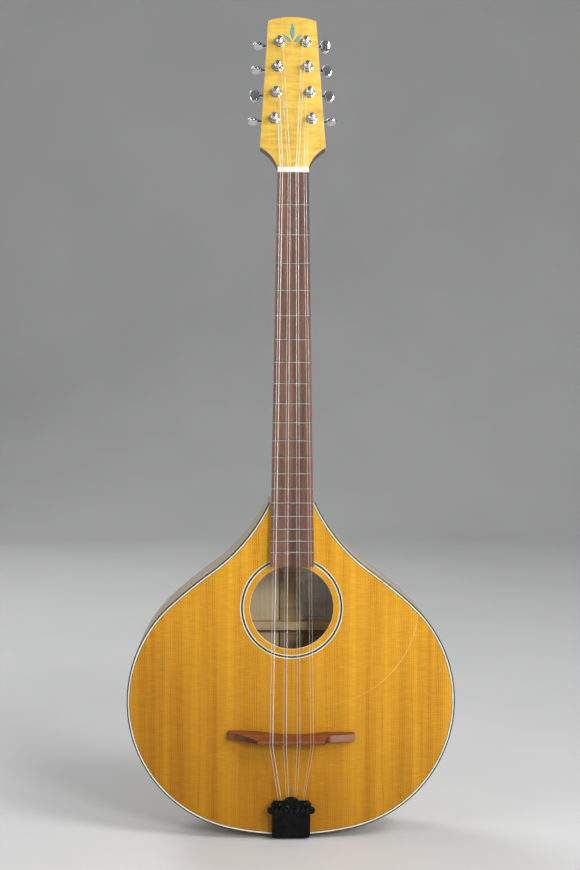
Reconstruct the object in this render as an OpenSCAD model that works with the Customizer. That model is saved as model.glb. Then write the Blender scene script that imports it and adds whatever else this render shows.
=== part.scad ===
// Flat-backed bouzouki with a drop-shaped body, eight strings in four courses,
// a floating bridge and a tailpiece. +Z runs up the body towards the head, the
// soundboard faces -Y, the treble side is +X, and the origin is on the rim at the
// bottom of the body, halfway through its depth.

/* [Scale] */
// Vibrating length of the strings, from nut to bridge
scale_len = 650; // [640:1:656]
// Fret at which the neck meets the body
body_fret = 15; // [15:1:15]
// Number of frets on the fingerboard
fret_count = 19; // [16:1:19]
// Angle by which the neck leans back from the soundboard
neck_angle = 2.5; // [2:0.1:3]

/* [Body] */
// Length of the body from the tail to the neck joint
body_len = 386; // [384:1:388]
// Depth of the body at the tail
tail_depth = 95; // [88:1:102]
// Depth of the body at the neck joint
joint_depth = 80; // [76:1:86]
// Radius of the round stretch at the tail
tail_r = 326.5; // [320:0.5:332]
// Radius of the lower bout
bout_r = 152; // [150:0.5:154]
// Thickness of the soundboard
top_t = 3; // [2.6:0.1:3.6]
// Thickness of the back
back_t = 3; // [2.4:0.1:3.6]
// Thickness of the bent sides
rim_t = 2.2; // [2:0.1:3]
// Radius of the sound hole
hole_r = 48; // [44:0.5:50]
// Height of the sound hole's centre above the tail
hole_z = 265; // [262:0.5:266]

/* [Neck and head] */
// Width of the fingerboard at the nut
nut_w = 35.6; // [34:0.1:38]
// Width of the fingerboard at its body end
board_end_w = 50.2; // [48:0.1:52]
// Thickness of the fingerboard
board_t = 6; // [5:0.1:7]
// Depth of the neck wood at the nut
neck_t_nut = 16; // [15:0.1:18]
// Depth of the neck wood at the joint
neck_t_joint = 20; // [18:0.1:23]
// Angle by which the head leans back from the fingerboard
head_angle = 13; // [12:0.5:14]
// Length of the head from the nut to the middle of its top edge
head_len = 189; // [184:1:194]
// Half the head's width at its shoulders
shoulder_x = 38.1; // [36:0.1:40]
// Half the head's width at its top corners
head_top_x = 28; // [26:0.1:30]

/* [Bridge and strings] */
// Length of the bridge
bridge_len = 146; // [136:1:150]
// Height of the strings over the neck's plane at the bridge
string_rise = 11.4; // [11:0.1:12]
// Spread from the first string to the eighth at the bridge
bridge_spread = 49.6; // [46:0.1:52]
// Spread from the first string to the eighth at the nut
nut_spread = 29.4; // [28:0.1:30]

/* [Hidden] */
$fn = 96;

// Body outline: four tangent arcs a side, from the tail round to the neck
tail_turn = 12.3;       // heading where the tail arc ends
bout_turn = 137.3;      // heading where the lower bout ends
shoulder_turn = 144.2;  // heading where the shoulder ends
throat_turn = 110;      // heading where the hollow curve to the neck ends
shoulder_r = 522;
throat_r = 201;
tail_c = [0, tail_r];
bout_c = tail_c + (tail_r - bout_r) * heading(tail_turn);
shoulder_c = bout_c + (bout_r - shoulder_r) * heading(bout_turn);
throat_c = shoulder_c + (shoulder_r + throat_r) * heading(shoulder_turn);

top_y = -tail_depth / 2;
back_tilt = atan((tail_depth - joint_depth) / body_len);

// Edge trim, counted inwards from the outside of the rim
binding_w = 1.5;
binding_d = 5;
cream_w = 1.6;
black_w = 0.6;
purfling_d = 1.5;
cream_in = binding_w + cream_w;
black_in = cream_in + black_w;
lining_in = 8;
lining_d = 10;

// Rosette rings let into the soundboard
rosette_r = [54.75, 56.05, 58.15, 59.35];
rosette_d = 1;

// Inner woodwork
brace_w = 8;
brace_d = 12;
top_brace_z = [66, 160, 205, 330];
back_brace_w = 10;
back_brace_z = [62, 146, 232, 318];
strip_w = 22.5;
strip_t = 2;
neck_block_l = 45;
neck_block_x = 32;
tail_block_l = 28;
tail_block_x = 40;
wedge_x = 4;
tenon_x = 9;
tenon_l = 16;
tenon_y = [-40, 22];
label_size = [36, 0.2, 60];
label_at = [12, 238];

// Neck
joint_s = fret_s(body_fret);
board_len = 449.7;
board_over = board_len - joint_s;
nut_t = 6;
nut_h = 8;
crown_r = 1.2;
tang_w = 0.6;
tang_d = 1.8;
joint_w = board_w(joint_s);
cone_r_nut = chord_r(nut_w / 2, neck_t_nut);
cone_r_joint = chord_r(joint_w / 2, neck_t_joint);
cone_y_nut = neck_t_nut - cone_r_nut;
cone_y_joint = neck_t_joint - cone_r_joint;
cone_grow = (cone_r_joint - cone_r_nut) / joint_s;
cone_tilt = atan((cone_y_nut - cone_y_joint) / joint_s);
cone_past = 24;
heel_cap_t = 3;
heel_foot = 15;
heel_rise = 64;
heel_cap_w = 27;
rod_w = 6;
rod_d = 9;
rod_z = [10, 362];
dot_frets = [3, 5, 7, 10, 12, 15, 17, 19];
dot_r = 1;
dot_d = 1.5;
strap_z = 411;
strap_y = -12;
strap_x = 14;
strap_neck_r = 3.6;
strap_head_r = 6.5;
strap_head_t = 2.6;

// Head
core_t = 12.5;
veneer_t = 2.5;
shoulder_v = 25;
head_top_sag = 5.4;
inlay_d = 1;
inlay_v = 156;

// Strings, numbered from the bass side: four courses of two
string_r = [0.23, 0.53, 0.16, 0.36, 0.21, 0.21, 0.15, 0.15];
course_gap_nut = 2.5;
course_gap_bridge = 3.2;
course_gap_tail = 2.3;
tail_spread = 25;
string_h = string_rise * cos(neck_angle) + (scale_len - joint_s) * sin(neck_angle);
bridge_z = body_len + string_rise * sin(neck_angle)
    - (scale_len - joint_s) * cos(neck_angle);
saddle_half = 3.6;      // half the level stretch of each string over the bridge
groove_gap = 0.2;

// Bridge
bridge_back = bridge_z - 1.6;
bridge_crown_t = 3.2;
bridge_foot_t = 10;
crown_x = [-38.5, 37.5];
wing_x = [-66, 43.5];
wing_h = [7.2, 10.5];
wing_end_h = 6.5;
scoop_r = [90, 22];
foot_edge_h = 3.4;
arch_h = 1.6;
arch_x = 26;

// Tailpiece
deck_x = 20.6;
leg_x = 21.6;
sheet_t = 1.2;
leg_t = 1.4;
deck_gap = 2.4;
deck_z = 42;
leg_y = -16;
hook_r = 0.8;
hook_h = 3;
hook_z = [20, 26];
hook_string_h = deck_gap + sheet_t + 1.2;
cover_x = 22;
cover_z = 2;
cover_len = 48;
cover_low = 5.6;
cover_high = 13.4;
cover_t = 1;
cover_lift = 1.2;
flange_x = 20.9;
flange_z = [0.8, 26];
cover_slope = atan((cover_high - cover_low) / cover_len);
screw_r = 1.6;
screw_l = 18;
screw_head_r = 3.2;
screw_head_t = 1.8;
screw_at = [[0, -27], [-13, -38], [13, -38]];

// Tuners, numbered with the strings
tuner_v = [59.5, 92, 124.5, 155.8, 155.8, 124.5, 92, 59.5];
tuner_inset = 14.4;
button_face = [90, 0, 90, 90, 20, 0, 0, 90];
washer_r = 6.5;
washer_t = 1.2;
bushing_r = 4.9;
bushing_top = 2.6;
post_r = 3;
post_waist_r = 2.2;
post_above = 13;
wound_r = 3.3;
wound_low = 4.6;
wound_high = 8;
run_gap = 0.06;
gear_teeth = 15;
gear_r = 4.9;
worm_off = 7;
worm_y = 20;
worm_r = 1.9;
shaft_r = 1.7;
case_x = [-7.5, 8.5];
case_y = [core_t, core_t + 14];
case_z = [-7, 11];
case_wall = 1.2;
button_x = 24.4;
button_w = 12.4;
button_l = 15.8;
button_t = 5.4;
ear_z = -11;
ear_r = 3.2;
ear_screw_r = 1.1;

function heading(a) = [sin(a), -cos(a)];
function fret_s(n) = scale_len * (1 - pow(2, -n / 12));
function board_w(s) = nut_w + (board_end_w - nut_w) * s / 449.7;
function chord_r(half, deep) = (half * half + deep * deep) / (2 * deep);
function turn_pts(c, r, from, to, n) =
    [for (i = [1 : n]) c + r * heading(from + (to - from) * i / n)];
// One side of the body outline, set in by d from the outside of the rim
function side_pts(d) = concat(
    [[0, d]],
    turn_pts(tail_c, tail_r - d, 0, tail_turn, 4),
    turn_pts(bout_c, bout_r - d, tail_turn, bout_turn, 42),
    turn_pts(shoulder_c, shoulder_r - d, bout_turn, shoulder_turn, 4),
    turn_pts(throat_c, -throat_r - d, shoulder_turn, throat_turn, 12));
function flipped(pts) = [for (i = [len(pts) - 1 : -1 : 1]) [-pts[i][0], pts[i][1]]];
// Points on the short arc of radius |r| from p to q; r > 0 puts its centre on the left
function arc_to(p, q, r, n) =
    let (d = q - p, m = (p + q) / 2, side = r > 0 ? 1 : -1,
        c = m + side * sqrt(r * r - d * d / 4) * [-d[1], d[0]] / norm(d),
        a = atan2(p[1] - c[1], p[0] - c[0]),
        sweep = side * 2 * asin(norm(d) / 2 / abs(r)))
    [for (i = [1 : n]) c + abs(r) * [cos(a + sweep * i / n), sin(a + sweep * i / n)]];
// Where string i crosses the nut, bridge or tailpiece for a spread and a course gap
function string_x(i, spread, gap) =
    let (course = floor(i / 2), inner = (spread - gap) / 2)
    -inner + course * inner * 2 / 3 + (i % 2 == 0 ? -gap / 2 : gap / 2);
function in_neck_pt(p) = [p[0],
    top_y + p[1] * cos(neck_angle) + p[2] * sin(neck_angle),
    body_len - p[1] * sin(neck_angle) + p[2] * cos(neck_angle)];
function in_head_pt(p) = in_neck_pt([p[0],
    p[1] * cos(head_angle) + p[2] * sin(head_angle),
    joint_s + nut_t - p[1] * sin(head_angle) + p[2] * cos(head_angle)]);
function edge_x(v) = shoulder_x
    + (head_top_x - shoulder_x) * (v - shoulder_v) / (head_len - head_top_sag - shoulder_v);
function tuner_side(i) = i < 4 ? -1 : 1;
function tuner_x(i) = tuner_side(i) * (edge_x(tuner_v[i]) - tuner_inset);
function unit(v) = v / norm(v);

// Carries an outline drawn in X and Z along Y
module slab(y0, y1) {
    translate([0, y1, 0]) rotate([90, 0, 0]) linear_extrude(y1 - y0) children();
}

// Carries an outline drawn in Y and Z along X
module crosswise(x0, x1) {
    translate([x0, 0, 0]) rotate([0, 0, 90]) rotate([90, 0, 0])
        linear_extrude(x1 - x0) children();
}

module rod_y(y0, y1, r) {
    translate([0, y0, 0]) rotate([-90, 0, 0]) cylinder(h = y1 - y0, r = r);
}

module rod_x(x0, x1, r) {
    translate([x0, 0, 0]) rotate([0, 90, 0]) cylinder(h = x1 - x0, r = r);
}

module in_neck() {
    translate([0, top_y, body_len]) rotate([-neck_angle, 0, 0]) children();
}

module in_head() {
    in_neck() translate([0, 0, joint_s + nut_t]) rotate([-head_angle, 0, 0]) children();
}

module in_back() {
    translate([0, tail_depth / 2, 0]) rotate([back_tilt, 0, 0]) children();
}

module at_tuner(i) {
    in_head() translate([tuner_x(i), 0, tuner_v[i]])
        mirror([tuner_side(i) < 0 ? 1 : 0, 0, 0]) children();
}

// ---- body ----

module outline(d) {
    intersection() {
        polygon(concat(side_pts(d), flipped(side_pts(d))));
        translate([-250, -10]) square([500, body_len + 10]);
    }
}

module ring(d0, d1) {
    difference() {
        outline(d0);
        outline(d1);
    }
}

module bass_half() {
    intersection() {
        children();
        translate([-250, -10]) square([250, body_len + 20]);
    }
}

module treble_half() {
    intersection() {
        children();
        translate([0, -10]) square([250, body_len + 20]);
    }
}

module behind_back(d) {
    in_back() translate([-260, -d, -40]) cube([520, 60, 520]);
}

module inside(d) {
    difference() {
        slab(top_y + top_t, 60) outline(d);
        behind_back(back_t);
    }
}

module tail_screw_holes() {
    for (s = screw_at)
        translate([s[0], s[1], -leg_t]) cylinder(h = screw_l, r = screw_r);
}

module soundboard_cuts() {
    translate([0, 0, hole_z]) rod_y(top_y - 1, top_y + top_t + 1, hole_r);
    translate([0, 0, hole_z]) difference() {
        rod_y(top_y - 1, top_y + rosette_d, rosette_r[3]);
        rod_y(top_y - 2, top_y + rosette_d + 1, rosette_r[0]);
    }
}

module soundboard_bass() {
    color("goldenrod") difference() {
        union() {
            slab(top_y + purfling_d, top_y + top_t) bass_half() outline(binding_w);
            slab(top_y, top_y + purfling_d) bass_half() outline(black_in);
        }
        soundboard_cuts();
    }
}

module soundboard_treble() {
    color("goldenrod") difference() {
        union() {
            slab(top_y + purfling_d, top_y + top_t) treble_half() outline(binding_w);
            slab(top_y, top_y + purfling_d) treble_half() outline(black_in);
        }
        soundboard_cuts();
    }
}

module back_slab() {
    in_back() translate([-260, -back_t, -40]) cube([520, back_t, 520]);
}

module back_bass() {
    color("tan") intersection() {
        slab(0, 60) bass_half() outline(binding_w);
        back_slab();
    }
}

module back_treble() {
    color("tan") intersection() {
        slab(0, 60) treble_half() outline(binding_w);
        back_slab();
    }
}

module rim_ring() {
    difference() {
        union() {
            slab(top_y + binding_d, 60) ring(0, rim_t);
            slab(top_y + top_t, top_y + binding_d) ring(binding_w, rim_t);
        }
        behind_back(back_t);
        intersection() {
            behind_back(binding_d);
            slab(0, 60) ring(-1, binding_w);
        }
        tail_screw_holes();
    }
}

module rim_bass() {
    color("tan") intersection() {
        rim_ring();
        translate([-250 - wedge_x, -80, -10]) cube([250, 160, body_len + 20]);
    }
}

module rim_treble() {
    color("tan") intersection() {
        rim_ring();
        translate([wedge_x, -80, -10]) cube([250, 160, body_len + 20]);
    }
}

module tail_wedge() {
    color("saddlebrown") intersection() {
        rim_ring();
        translate([-wedge_x, -80, -10]) cube([2 * wedge_x, 160, 30]);
    }
}

module neck_block() {
    color("burlywood") difference() {
        intersection() {
            inside(rim_t);
            translate([-neck_block_x, -60, body_len - neck_block_l])
                cube([2 * neck_block_x, 120, neck_block_l]);
        }
        tenon();
    }
}

module tail_block() {
    color("burlywood") difference() {
        intersection() {
            inside(rim_t);
            translate([-tail_block_x, -60, -1]) cube([2 * tail_block_x, 120, tail_block_l]);
        }
        tail_screw_holes();
    }
}

module block_spaces() {
    translate([-neck_block_x, -60, body_len - neck_block_l])
        cube([2 * neck_block_x, 120, neck_block_l + 1]);
    translate([-tail_block_x, -60, -1]) cube([2 * tail_block_x, 120, tail_block_l]);
}

module top_linings() {
    color("wheat") difference() {
        slab(top_y + top_t, top_y + top_t + lining_d) ring(rim_t, lining_in);
        block_spaces();
    }
}

module back_linings() {
    color("wheat") difference() {
        intersection() {
            slab(0, 60) ring(rim_t, lining_in);
            in_back() translate([-260, -back_t - lining_d, -40]) cube([520, lining_d, 520]);
        }
        block_spaces();
    }
}

module top_braces() {
    color("wheat") intersection() {
        inside(lining_in);
        for (z = top_brace_z)
            translate([-200, top_y + top_t, z - brace_w / 2]) cube([400, brace_d, brace_w]);
    }
}

module strip_bar() {
    in_back() translate([-strip_w / 2, -back_t - strip_t, tail_block_l])
        cube([strip_w, strip_t, body_len - neck_block_l - tail_block_l - 1]);
}

module back_braces() {
    color("burlywood") difference() {
        intersection() {
            inside(lining_in);
            for (z = back_brace_z)
                in_back() translate([-200, -back_t - brace_d, z - back_brace_w / 2])
                    cube([400, brace_d + 1, back_brace_w]);
        }
        strip_bar();
    }
}

module back_strip() {
    color("wheat") strip_bar();
}

module top_binding() {
    color([0.08, 0.08, 0.08]) slab(top_y, top_y + binding_d) ring(0, binding_w);
}

module back_binding() {
    color([0.08, 0.08, 0.08]) intersection() {
        slab(0, 60) ring(0, binding_w);
        in_back() translate([-260, -binding_d, -40]) cube([520, binding_d, 520]);
    }
}

module purfling_cream() {
    color("ivory") slab(top_y, top_y + purfling_d) ring(binding_w, cream_in);
}

module purfling_black() {
    color([0.1, 0.1, 0.1]) slab(top_y, top_y + purfling_d) ring(cream_in, black_in);
}

module rosette_ring(r0, r1) {
    translate([0, 0, hole_z]) difference() {
        rod_y(top_y, top_y + rosette_d, r1);
        rod_y(top_y - 1, top_y + rosette_d + 1, r0);
    }
}

module rosette_cream() {
    color("ivory") {
        rosette_ring(rosette_r[0], rosette_r[1]);
        rosette_ring(rosette_r[2], rosette_r[3]);
    }
}

module rosette_black() {
    color([0.12, 0.13, 0.15]) rosette_ring(rosette_r[1], rosette_r[2]);
}

module label() {
    color("whitesmoke") in_back()
        translate([label_at[0], -back_t - label_size[1], label_at[1]]) cube(label_size);
}

// ---- neck ----

module tenon() {
    translate([-tenon_x, tenon_y[0], body_len - tenon_l])
        cube([2 * tenon_x, tenon_y[1] - tenon_y[0], tenon_l]);
}

module above_neck_plane() {
    in_neck() translate([-100, -100, -80]) cube([200, 100, 600]);
}

module above_head_plane() {
    in_head() translate([-100, -60, 0]) cube([200, 60, 260]);
}

module neck_shaft() {
    in_neck() translate([0, cone_y_joint, 0]) rotate([-cone_tilt, 0, 0])
        cylinder(h = joint_s + cone_past, r1 = cone_r_joint,
            r2 = cone_r_nut - cone_grow * cone_past);
}

module heel_shape() {
    back_y = top_y + joint_depth;
    foot = [back_y, body_len + heel_foot];
    rise = [top_y + 14, body_len + heel_rise];
    intersection() {
        crosswise(-30, 30)
            polygon(concat([[top_y - 1, body_len], [back_y, body_len], foot],
                arc_to(foot, rise, -78, 16), [[top_y - 1, body_len + heel_rise]]));
        translate([0, 0, body_len - 1]) linear_extrude(heel_rise + 2)
            polygon([[-joint_w / 2, top_y - 1], [joint_w / 2, top_y - 1],
                [joint_w / 2, top_y + 6], [heel_cap_w / 2, back_y],
                [-heel_cap_w / 2, back_y], [-joint_w / 2, top_y + 6]]);
    }
}

module heel_cap_space() {
    translate([-40, top_y + joint_depth - heel_cap_t, body_len - 5]) cube([80, 20, 60]);
}

module head_outline() {
    nut_c = [nut_w / 2, 0];
    shoulder = [shoulder_x, shoulder_v];
    corner = [head_top_x, head_len - head_top_sag];
    top_arc_r = chord_r(head_top_x, head_top_sag);
    side = concat([nut_c], arc_to(nut_c, shoulder, -42, 12), [corner]);
    top = arc_to(corner, [-corner[0], corner[1]], top_arc_r, 16);
    polygon(concat(side, top,
        [for (i = [len(side) - 2 : -1 : 0]) [-side[i][0], side[i][1]]]));
}

module truss_slot() {
    in_neck() translate([-rod_w / 2, -1, rod_z[0]])
        cube([rod_w, rod_d + 1, rod_z[1] - rod_z[0]]);
}

module strap_screw_hole() {
    translate([0, strap_y, strap_z]) rod_x(4, strap_x + 6, screw_r);
}

module neck() {
    color("sienna") difference() {
        union() {
            difference() {
                union() {
                    neck_shaft();
                    heel_shape();
                }
                above_neck_plane();
                above_head_plane();
                heel_cap_space();
                translate([-60, -100, body_len - 60]) cube([120, 200, 60]);
            }
            in_head() slab(0, core_t) head_outline();
            tenon();
        }
        for (i = [0 : 7]) {
            at_tuner(i) rod_y(-1, core_t + 1, bushing_r);
            at_tuner(i) translate([0, 0, ear_z]) rod_y(core_t - 8, core_t + 1, ear_screw_r);
        }
        truss_slot();
        strap_screw_hole();
    }
}

module heel_cap() {
    color("saddlebrown") intersection() {
        heel_shape();
        heel_cap_space();
    }
}

module truss_rod() {
    color("silver") in_neck() translate([-rod_w / 2, 0, rod_z[0]])
        cube([rod_w, rod_d, rod_z[1] - rod_z[0]]);
}

module board_plan() {
    polygon([[-board_end_w / 2, -board_over], [board_end_w / 2, -board_over],
        [nut_w / 2, joint_s], [-nut_w / 2, joint_s]]);
}

module side_dot(n) {
    s = (fret_s(n) + fret_s(n - 1)) / 2;
    translate([-board_w(s) / 2, -board_t / 2, joint_s - s]) rod_x(0, dot_d, dot_r);
}

module side_dot_hole(n) {
    s = (fret_s(n) + fret_s(n - 1)) / 2;
    translate([-board_w(s) / 2, -board_t / 2, joint_s - s]) rod_x(-1, dot_d, dot_r);
}

module fingerboard() {
    color([0.33, 0.2, 0.15]) in_neck() difference() {
        slab(-board_t, 0) board_plan();
        for (n = [1 : fret_count])
            translate([-40, -board_t - 1, joint_s - fret_s(n) - tang_w / 2])
                cube([80, tang_d + 1, tang_w]);
        for (n = dot_frets) side_dot_hole(n);
    }
}

module board_wedge() {
    color([0.3, 0.18, 0.12]) difference() {
        in_neck() slab(0, 10) intersection() {
            board_plan();
            translate([-40, -board_over]) square([80, board_over - 8]);
        }
        translate([-60, top_y, body_len - 200]) cube([120, 60, 260]);
    }
}

module fret(n) {
    half = board_w(fret_s(n)) / 2 - 0.15;
    translate([0, -board_t, joint_s - fret_s(n)]) {
        intersection() {
            rod_x(-half, half, crown_r);
            translate([-40, -4, -3]) cube([80, 4, 6]);
        }
        translate([-half, -0.2, -tang_w / 2]) cube([2 * half, tang_d + 0.2, tang_w]);
    }
}

module frets() {
    color("silver") in_neck() for (n = [1 : fret_count]) fret(n);
}

module nut() {
    color("ivory") difference() {
        in_neck() translate([-nut_w / 2, -nut_h, joint_s]) cube([nut_w, nut_h, nut_t]);
        for (i = [0 : 7])
            in_neck() translate([string_x(i, nut_spread, course_gap_nut), -nut_h, joint_s - 2])
                cylinder(h = nut_t + 4, r = string_r[i] + 0.04);
    }
}

module side_dots() {
    color("ivory") in_neck() for (n = dot_frets) side_dot(n);
}

module leaf(length, width) {
    r = chord_r(length / 2, width / 2);
    intersection() {
        translate([r - width / 2, length / 2]) circle(r = r);
        translate([width / 2 - r, length / 2]) circle(r = r);
    }
}

module sprig() {
    translate([0, inlay_v + 3]) leaf(22, 5.6);
    translate([-1.6, inlay_v]) rotate([0, 0, 42]) leaf(14, 4.2);
    translate([1.6, inlay_v]) rotate([0, 0, -42]) leaf(14, 4.2);
}

module head_veneer() {
    color("gold") in_head() difference() {
        slab(-veneer_t, 0) head_outline();
        slab(-veneer_t - 1, -veneer_t + inlay_d) sprig();
        for (i = [0 : 7])
            translate([tuner_x(i), 0, tuner_v[i]]) rod_y(-veneer_t - 1, 1, bushing_r);
    }
}

module head_inlay() {
    color("paleturquoise") in_head() slab(-veneer_t, -veneer_t + inlay_d) sprig();
}

module strap_button() {
    color("whitesmoke") translate([strap_x, strap_y, strap_z]) {
        rod_x(8.2, 8.2 + strap_head_t, strap_head_r);
        rod_x(7, 8.2 + strap_head_t / 2, strap_neck_r);
        rod_x(-10, 8.2, screw_r);
    }
}

// ---- tailpiece ----

module tailpiece_base() {
    color([0.06, 0.06, 0.06]) difference() {
        union() {
            translate([-deck_x, top_y - deck_gap - sheet_t, -leg_t])
                cube([2 * deck_x, sheet_t, deck_z + leg_t]);
            translate([-leg_x, top_y - deck_gap - sheet_t, -leg_t])
                cube([2 * leg_x, leg_y - top_y + deck_gap + sheet_t, leg_t]);
            for (i = [0 : 7])
                translate([string_x(i, tail_spread, course_gap_tail), 0, hook_z[i % 2]])
                    rod_y(top_y - deck_gap - sheet_t - hook_h, top_y - deck_gap, hook_r);
        }
        tail_screw_holes();
    }
}

module cover_plan() {
    neck_pt = [cover_x, 26.6];
    ear = [27.5, 31.6];
    ear_top = [23, 35.4];
    side_top = [23, 38.6];
    lobe = [18, 43.2];
    crown = [9, 43.2];
    side = concat([[cover_x, 0], neck_pt], arc_to(neck_pt, ear, 5, 5),
        arc_to(ear, ear_top, 3.6, 6), [side_top], arc_to(side_top, lobe, 5.5, 6),
        [crown]);
    top = arc_to(crown, [-crown[0], crown[1]], chord_r(9, 5), 14);
    polygon(concat(side, top,
        [for (i = [len(side) - 2 : -1 : 0]) [-side[i][0], side[i][1]]]));
}

// Side wall of the cover, in the frame of its sloping sheet
module cover_flange() {
    clear = cover_low - cover_lift;
    crosswise(0, cover_t)
        polygon([[-cover_t / 2, flange_z[0]], [-cover_t / 2, flange_z[1]],
            [clear + flange_z[1] * sin(cover_slope), flange_z[1]],
            [clear + flange_z[0] * sin(cover_slope), flange_z[0]]]);
}

module tailpiece_cover() {
    color([0.05, 0.05, 0.05])
        translate([0, top_y - cover_low, cover_z]) rotate([cover_slope, 0, 0]) union() {
            slab(-cover_t, 0) cover_plan();
            translate([flange_x, 0, 0]) cover_flange();
            translate([-flange_x - cover_t, 0, 0]) cover_flange();
        }
}

module tailpiece_screws() {
    color("silver") for (s = screw_at) translate([s[0], s[1], 0]) {
        translate([0, 0, -leg_t]) cylinder(h = screw_l, r = screw_r);
        translate([0, 0, -leg_t - screw_head_t])
            cylinder(h = screw_head_t, r = screw_head_r);
    }
}

// ---- bridge ----

module bridge_front() {
    top = string_h;
    half = bridge_len / 2;
    polygon(concat([[-half, 0], [-arch_x, 0]],
        arc_to([-arch_x, 0], [arch_x, 0], -chord_r(arch_x, arch_h), 16),
        [[half, 0], [half, wing_end_h], [wing_x[1], wing_h[1]]],
        arc_to([wing_x[1], wing_h[1]], [crown_x[1], top], -scoop_r[1], 10),
        [[crown_x[0], top]],
        arc_to([crown_x[0], top], [wing_x[0], wing_h[0]], -scoop_r[0], 10),
        [[-half, wing_end_h]]));
}

// The side view, with height along the first axis and the way up the body along the second
module bridge_side() {
    polygon([[0, 0], [0, bridge_foot_t], [foot_edge_h, bridge_foot_t],
        [string_h, bridge_crown_t], [string_h, 0]]);
}

module bridge_plan() {
    half = bridge_len / 2;
    waist = 3;
    polygon(concat([[-half, 0], [half, 0], [half, bridge_foot_t], [40, bridge_foot_t]],
        arc_to([40, bridge_foot_t], [-40, bridge_foot_t], -chord_r(40, waist), 16),
        [[-half, bridge_foot_t]]));
}

module bridge() {
    color("saddlebrown") difference() {
        translate([0, top_y, bridge_back]) intersection() {
            mirror([0, 1, 0]) linear_extrude(bridge_foot_t) bridge_front();
            mirror([0, 1, 0]) crosswise(-bridge_len / 2, bridge_len / 2) bridge_side();
            slab(-string_h, 0) bridge_plan();
        }
        for (i = [0 : 7])
            translate([string_x(i, bridge_spread, course_gap_bridge), top_y - string_h,
                bridge_back - 5])
                cylinder(h = 30, r = string_r[i] + groove_gap);
    }
}

// ---- strings ----

// Points round the hook and up over the bridge and nut to the tuner post
function string_route(i) =
    let (tail_x = string_x(i, tail_spread, course_gap_tail),
        bx = string_x(i, bridge_spread, course_gap_bridge),
        nx = string_x(i, nut_spread, course_gap_nut),
        loop_r = hook_r + string_r[i] + 0.05,
        hook = [tail_x, top_y - hook_string_h, hook_z[i % 2]],
        post = [tuner_x(i), -veneer_t - (wound_low + wound_high) / 2, tuner_v[i]],
        aim = [post[0] - tuner_side(i) * (wound_r + string_r[i] + 0.25), post[1], post[2]])
    concat(
        [for (a = [60 : 40 : 340]) hook + loop_r * [cos(a), 0, sin(a)]],
        [hook + [loop_r * 0.6, -0.8, 5],
            [bx, top_y - string_h, bridge_z - saddle_half],
            [bx, top_y - string_h, bridge_z + saddle_half],
            in_neck_pt([nx, -nut_h, joint_s]),
            in_neck_pt([nx, -nut_h, joint_s + nut_t]),
            in_head_pt(aim)]);

// One closed tube along a list of points, with eight sides
module tube(path, r) {
    sides = 8;
    last = len(path) - 1;
    way = [for (i = [0 : last])
        unit(path[min(i + 1, last)] - path[max(i - 1, 0)])];
    across = [for (w = way) unit(cross([0, 1, 0], w))];
    rings = [for (i = [0 : last]) for (k = [0 : sides - 1])
        let (a = 360 * k / sides, up = cross(way[i], across[i]))
        path[i] + r * (cos(a) * across[i] + sin(a) * up)];
    walls = [for (i = [0 : last - 1]) for (k = [0 : sides - 1])
        let (n = (k + 1) % sides)
        [i * sides + k, (i + 1) * sides + k, (i + 1) * sides + n, i * sides + n]];
    start = [for (k = [0 : sides - 1]) k];
    end = [for (k = [sides - 1 : -1 : 0]) last * sides + k];
    polyhedron(points = rings, faces = concat(walls, [start, end]));
}

module course(n) {
    for (i = [2 * n - 2, 2 * n - 1])
        tube(string_route(i), string_r[i]);
}

module string_course_1() {
    color("silver") course(1);
}

module string_course_2() {
    color("silver") course(2);
}

module string_course_3() {
    color("silver") course(3);
}

module string_course_4() {
    color("silver") course(4);
}

// ---- tuners: x is outboard, -y is out of the head's face ----

module tuner_case() {
    w = case_wall;
    difference() {
        union() {
            translate([case_x[0], case_y[0], case_z[0]])
                cube([case_x[1] - case_x[0], case_y[1] - case_y[0], case_z[1] - case_z[0]]);
            translate([0, 0, ear_z]) rod_y(case_y[0], case_y[0] + 2, ear_r);
            translate([-ear_r, case_y[0], ear_z]) cube([2 * ear_r, 2, 6]);
        }
        translate([case_x[0] + w, case_y[0] + w, case_z[0] + w])
            cube([case_x[1] - case_x[0] - 2 * w, case_y[1] - case_y[0] - 2 * w,
                case_z[1] - case_z[0] - 2 * w]);
        rod_y(case_y[0] - 1, case_y[0] + 2, post_r + run_gap);
        translate([0, worm_y, worm_off]) rod_x(case_x[1] - 3, case_x[1] + 1, shaft_r + run_gap);
        translate([0, 0, ear_z]) rod_y(case_y[0] - 1, case_y[0] + 3, ear_screw_r);
    }
}

module tuner_housings() {
    color("silver") for (i = [0 : 7]) at_tuner(i) tuner_case();
}

module tuner_bushings() {
    color("silver") for (i = [0 : 7]) at_tuner(i) difference() {
        union() {
            rod_y(-veneer_t, core_t - 1, bushing_r);
            rod_y(-veneer_t - washer_t, -veneer_t, washer_r);
            rod_y(-veneer_t - bushing_top, -veneer_t, bushing_r);
        }
        rod_y(-veneer_t - 5, core_t + 1, post_r + run_gap);
    }
}

module tuner_screws() {
    color("silver") for (i = [0 : 7]) at_tuner(i) translate([0, 0, ear_z]) {
        rod_y(core_t - 8, core_t + 2, ear_screw_r);
        rod_y(core_t + 2, core_t + 3.2, 2.2);
    }
}

module gear_plan() {
    circle(r = gear_r - 0.9);
    for (k = [0 : gear_teeth - 1])
        rotate([0, 0, 360 * k / gear_teeth])
            translate([0, -0.55]) square([gear_r, 1.1]);
}

module tuner_post(i) {
    face = -veneer_t;
    color("silver") at_tuner(i) {
        union() {
            rod_y(face - wound_low, worm_y + 4, post_r);
            rod_y(face - wound_high, face - wound_low, wound_r);
            rod_y(face - post_above, face - wound_high - 1, post_r);
            rod_y(face - wound_high - 1, face - wound_high, post_waist_r);
            slab(worm_y - 2, worm_y + 2) gear_plan();
        }
    }
}

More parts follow.
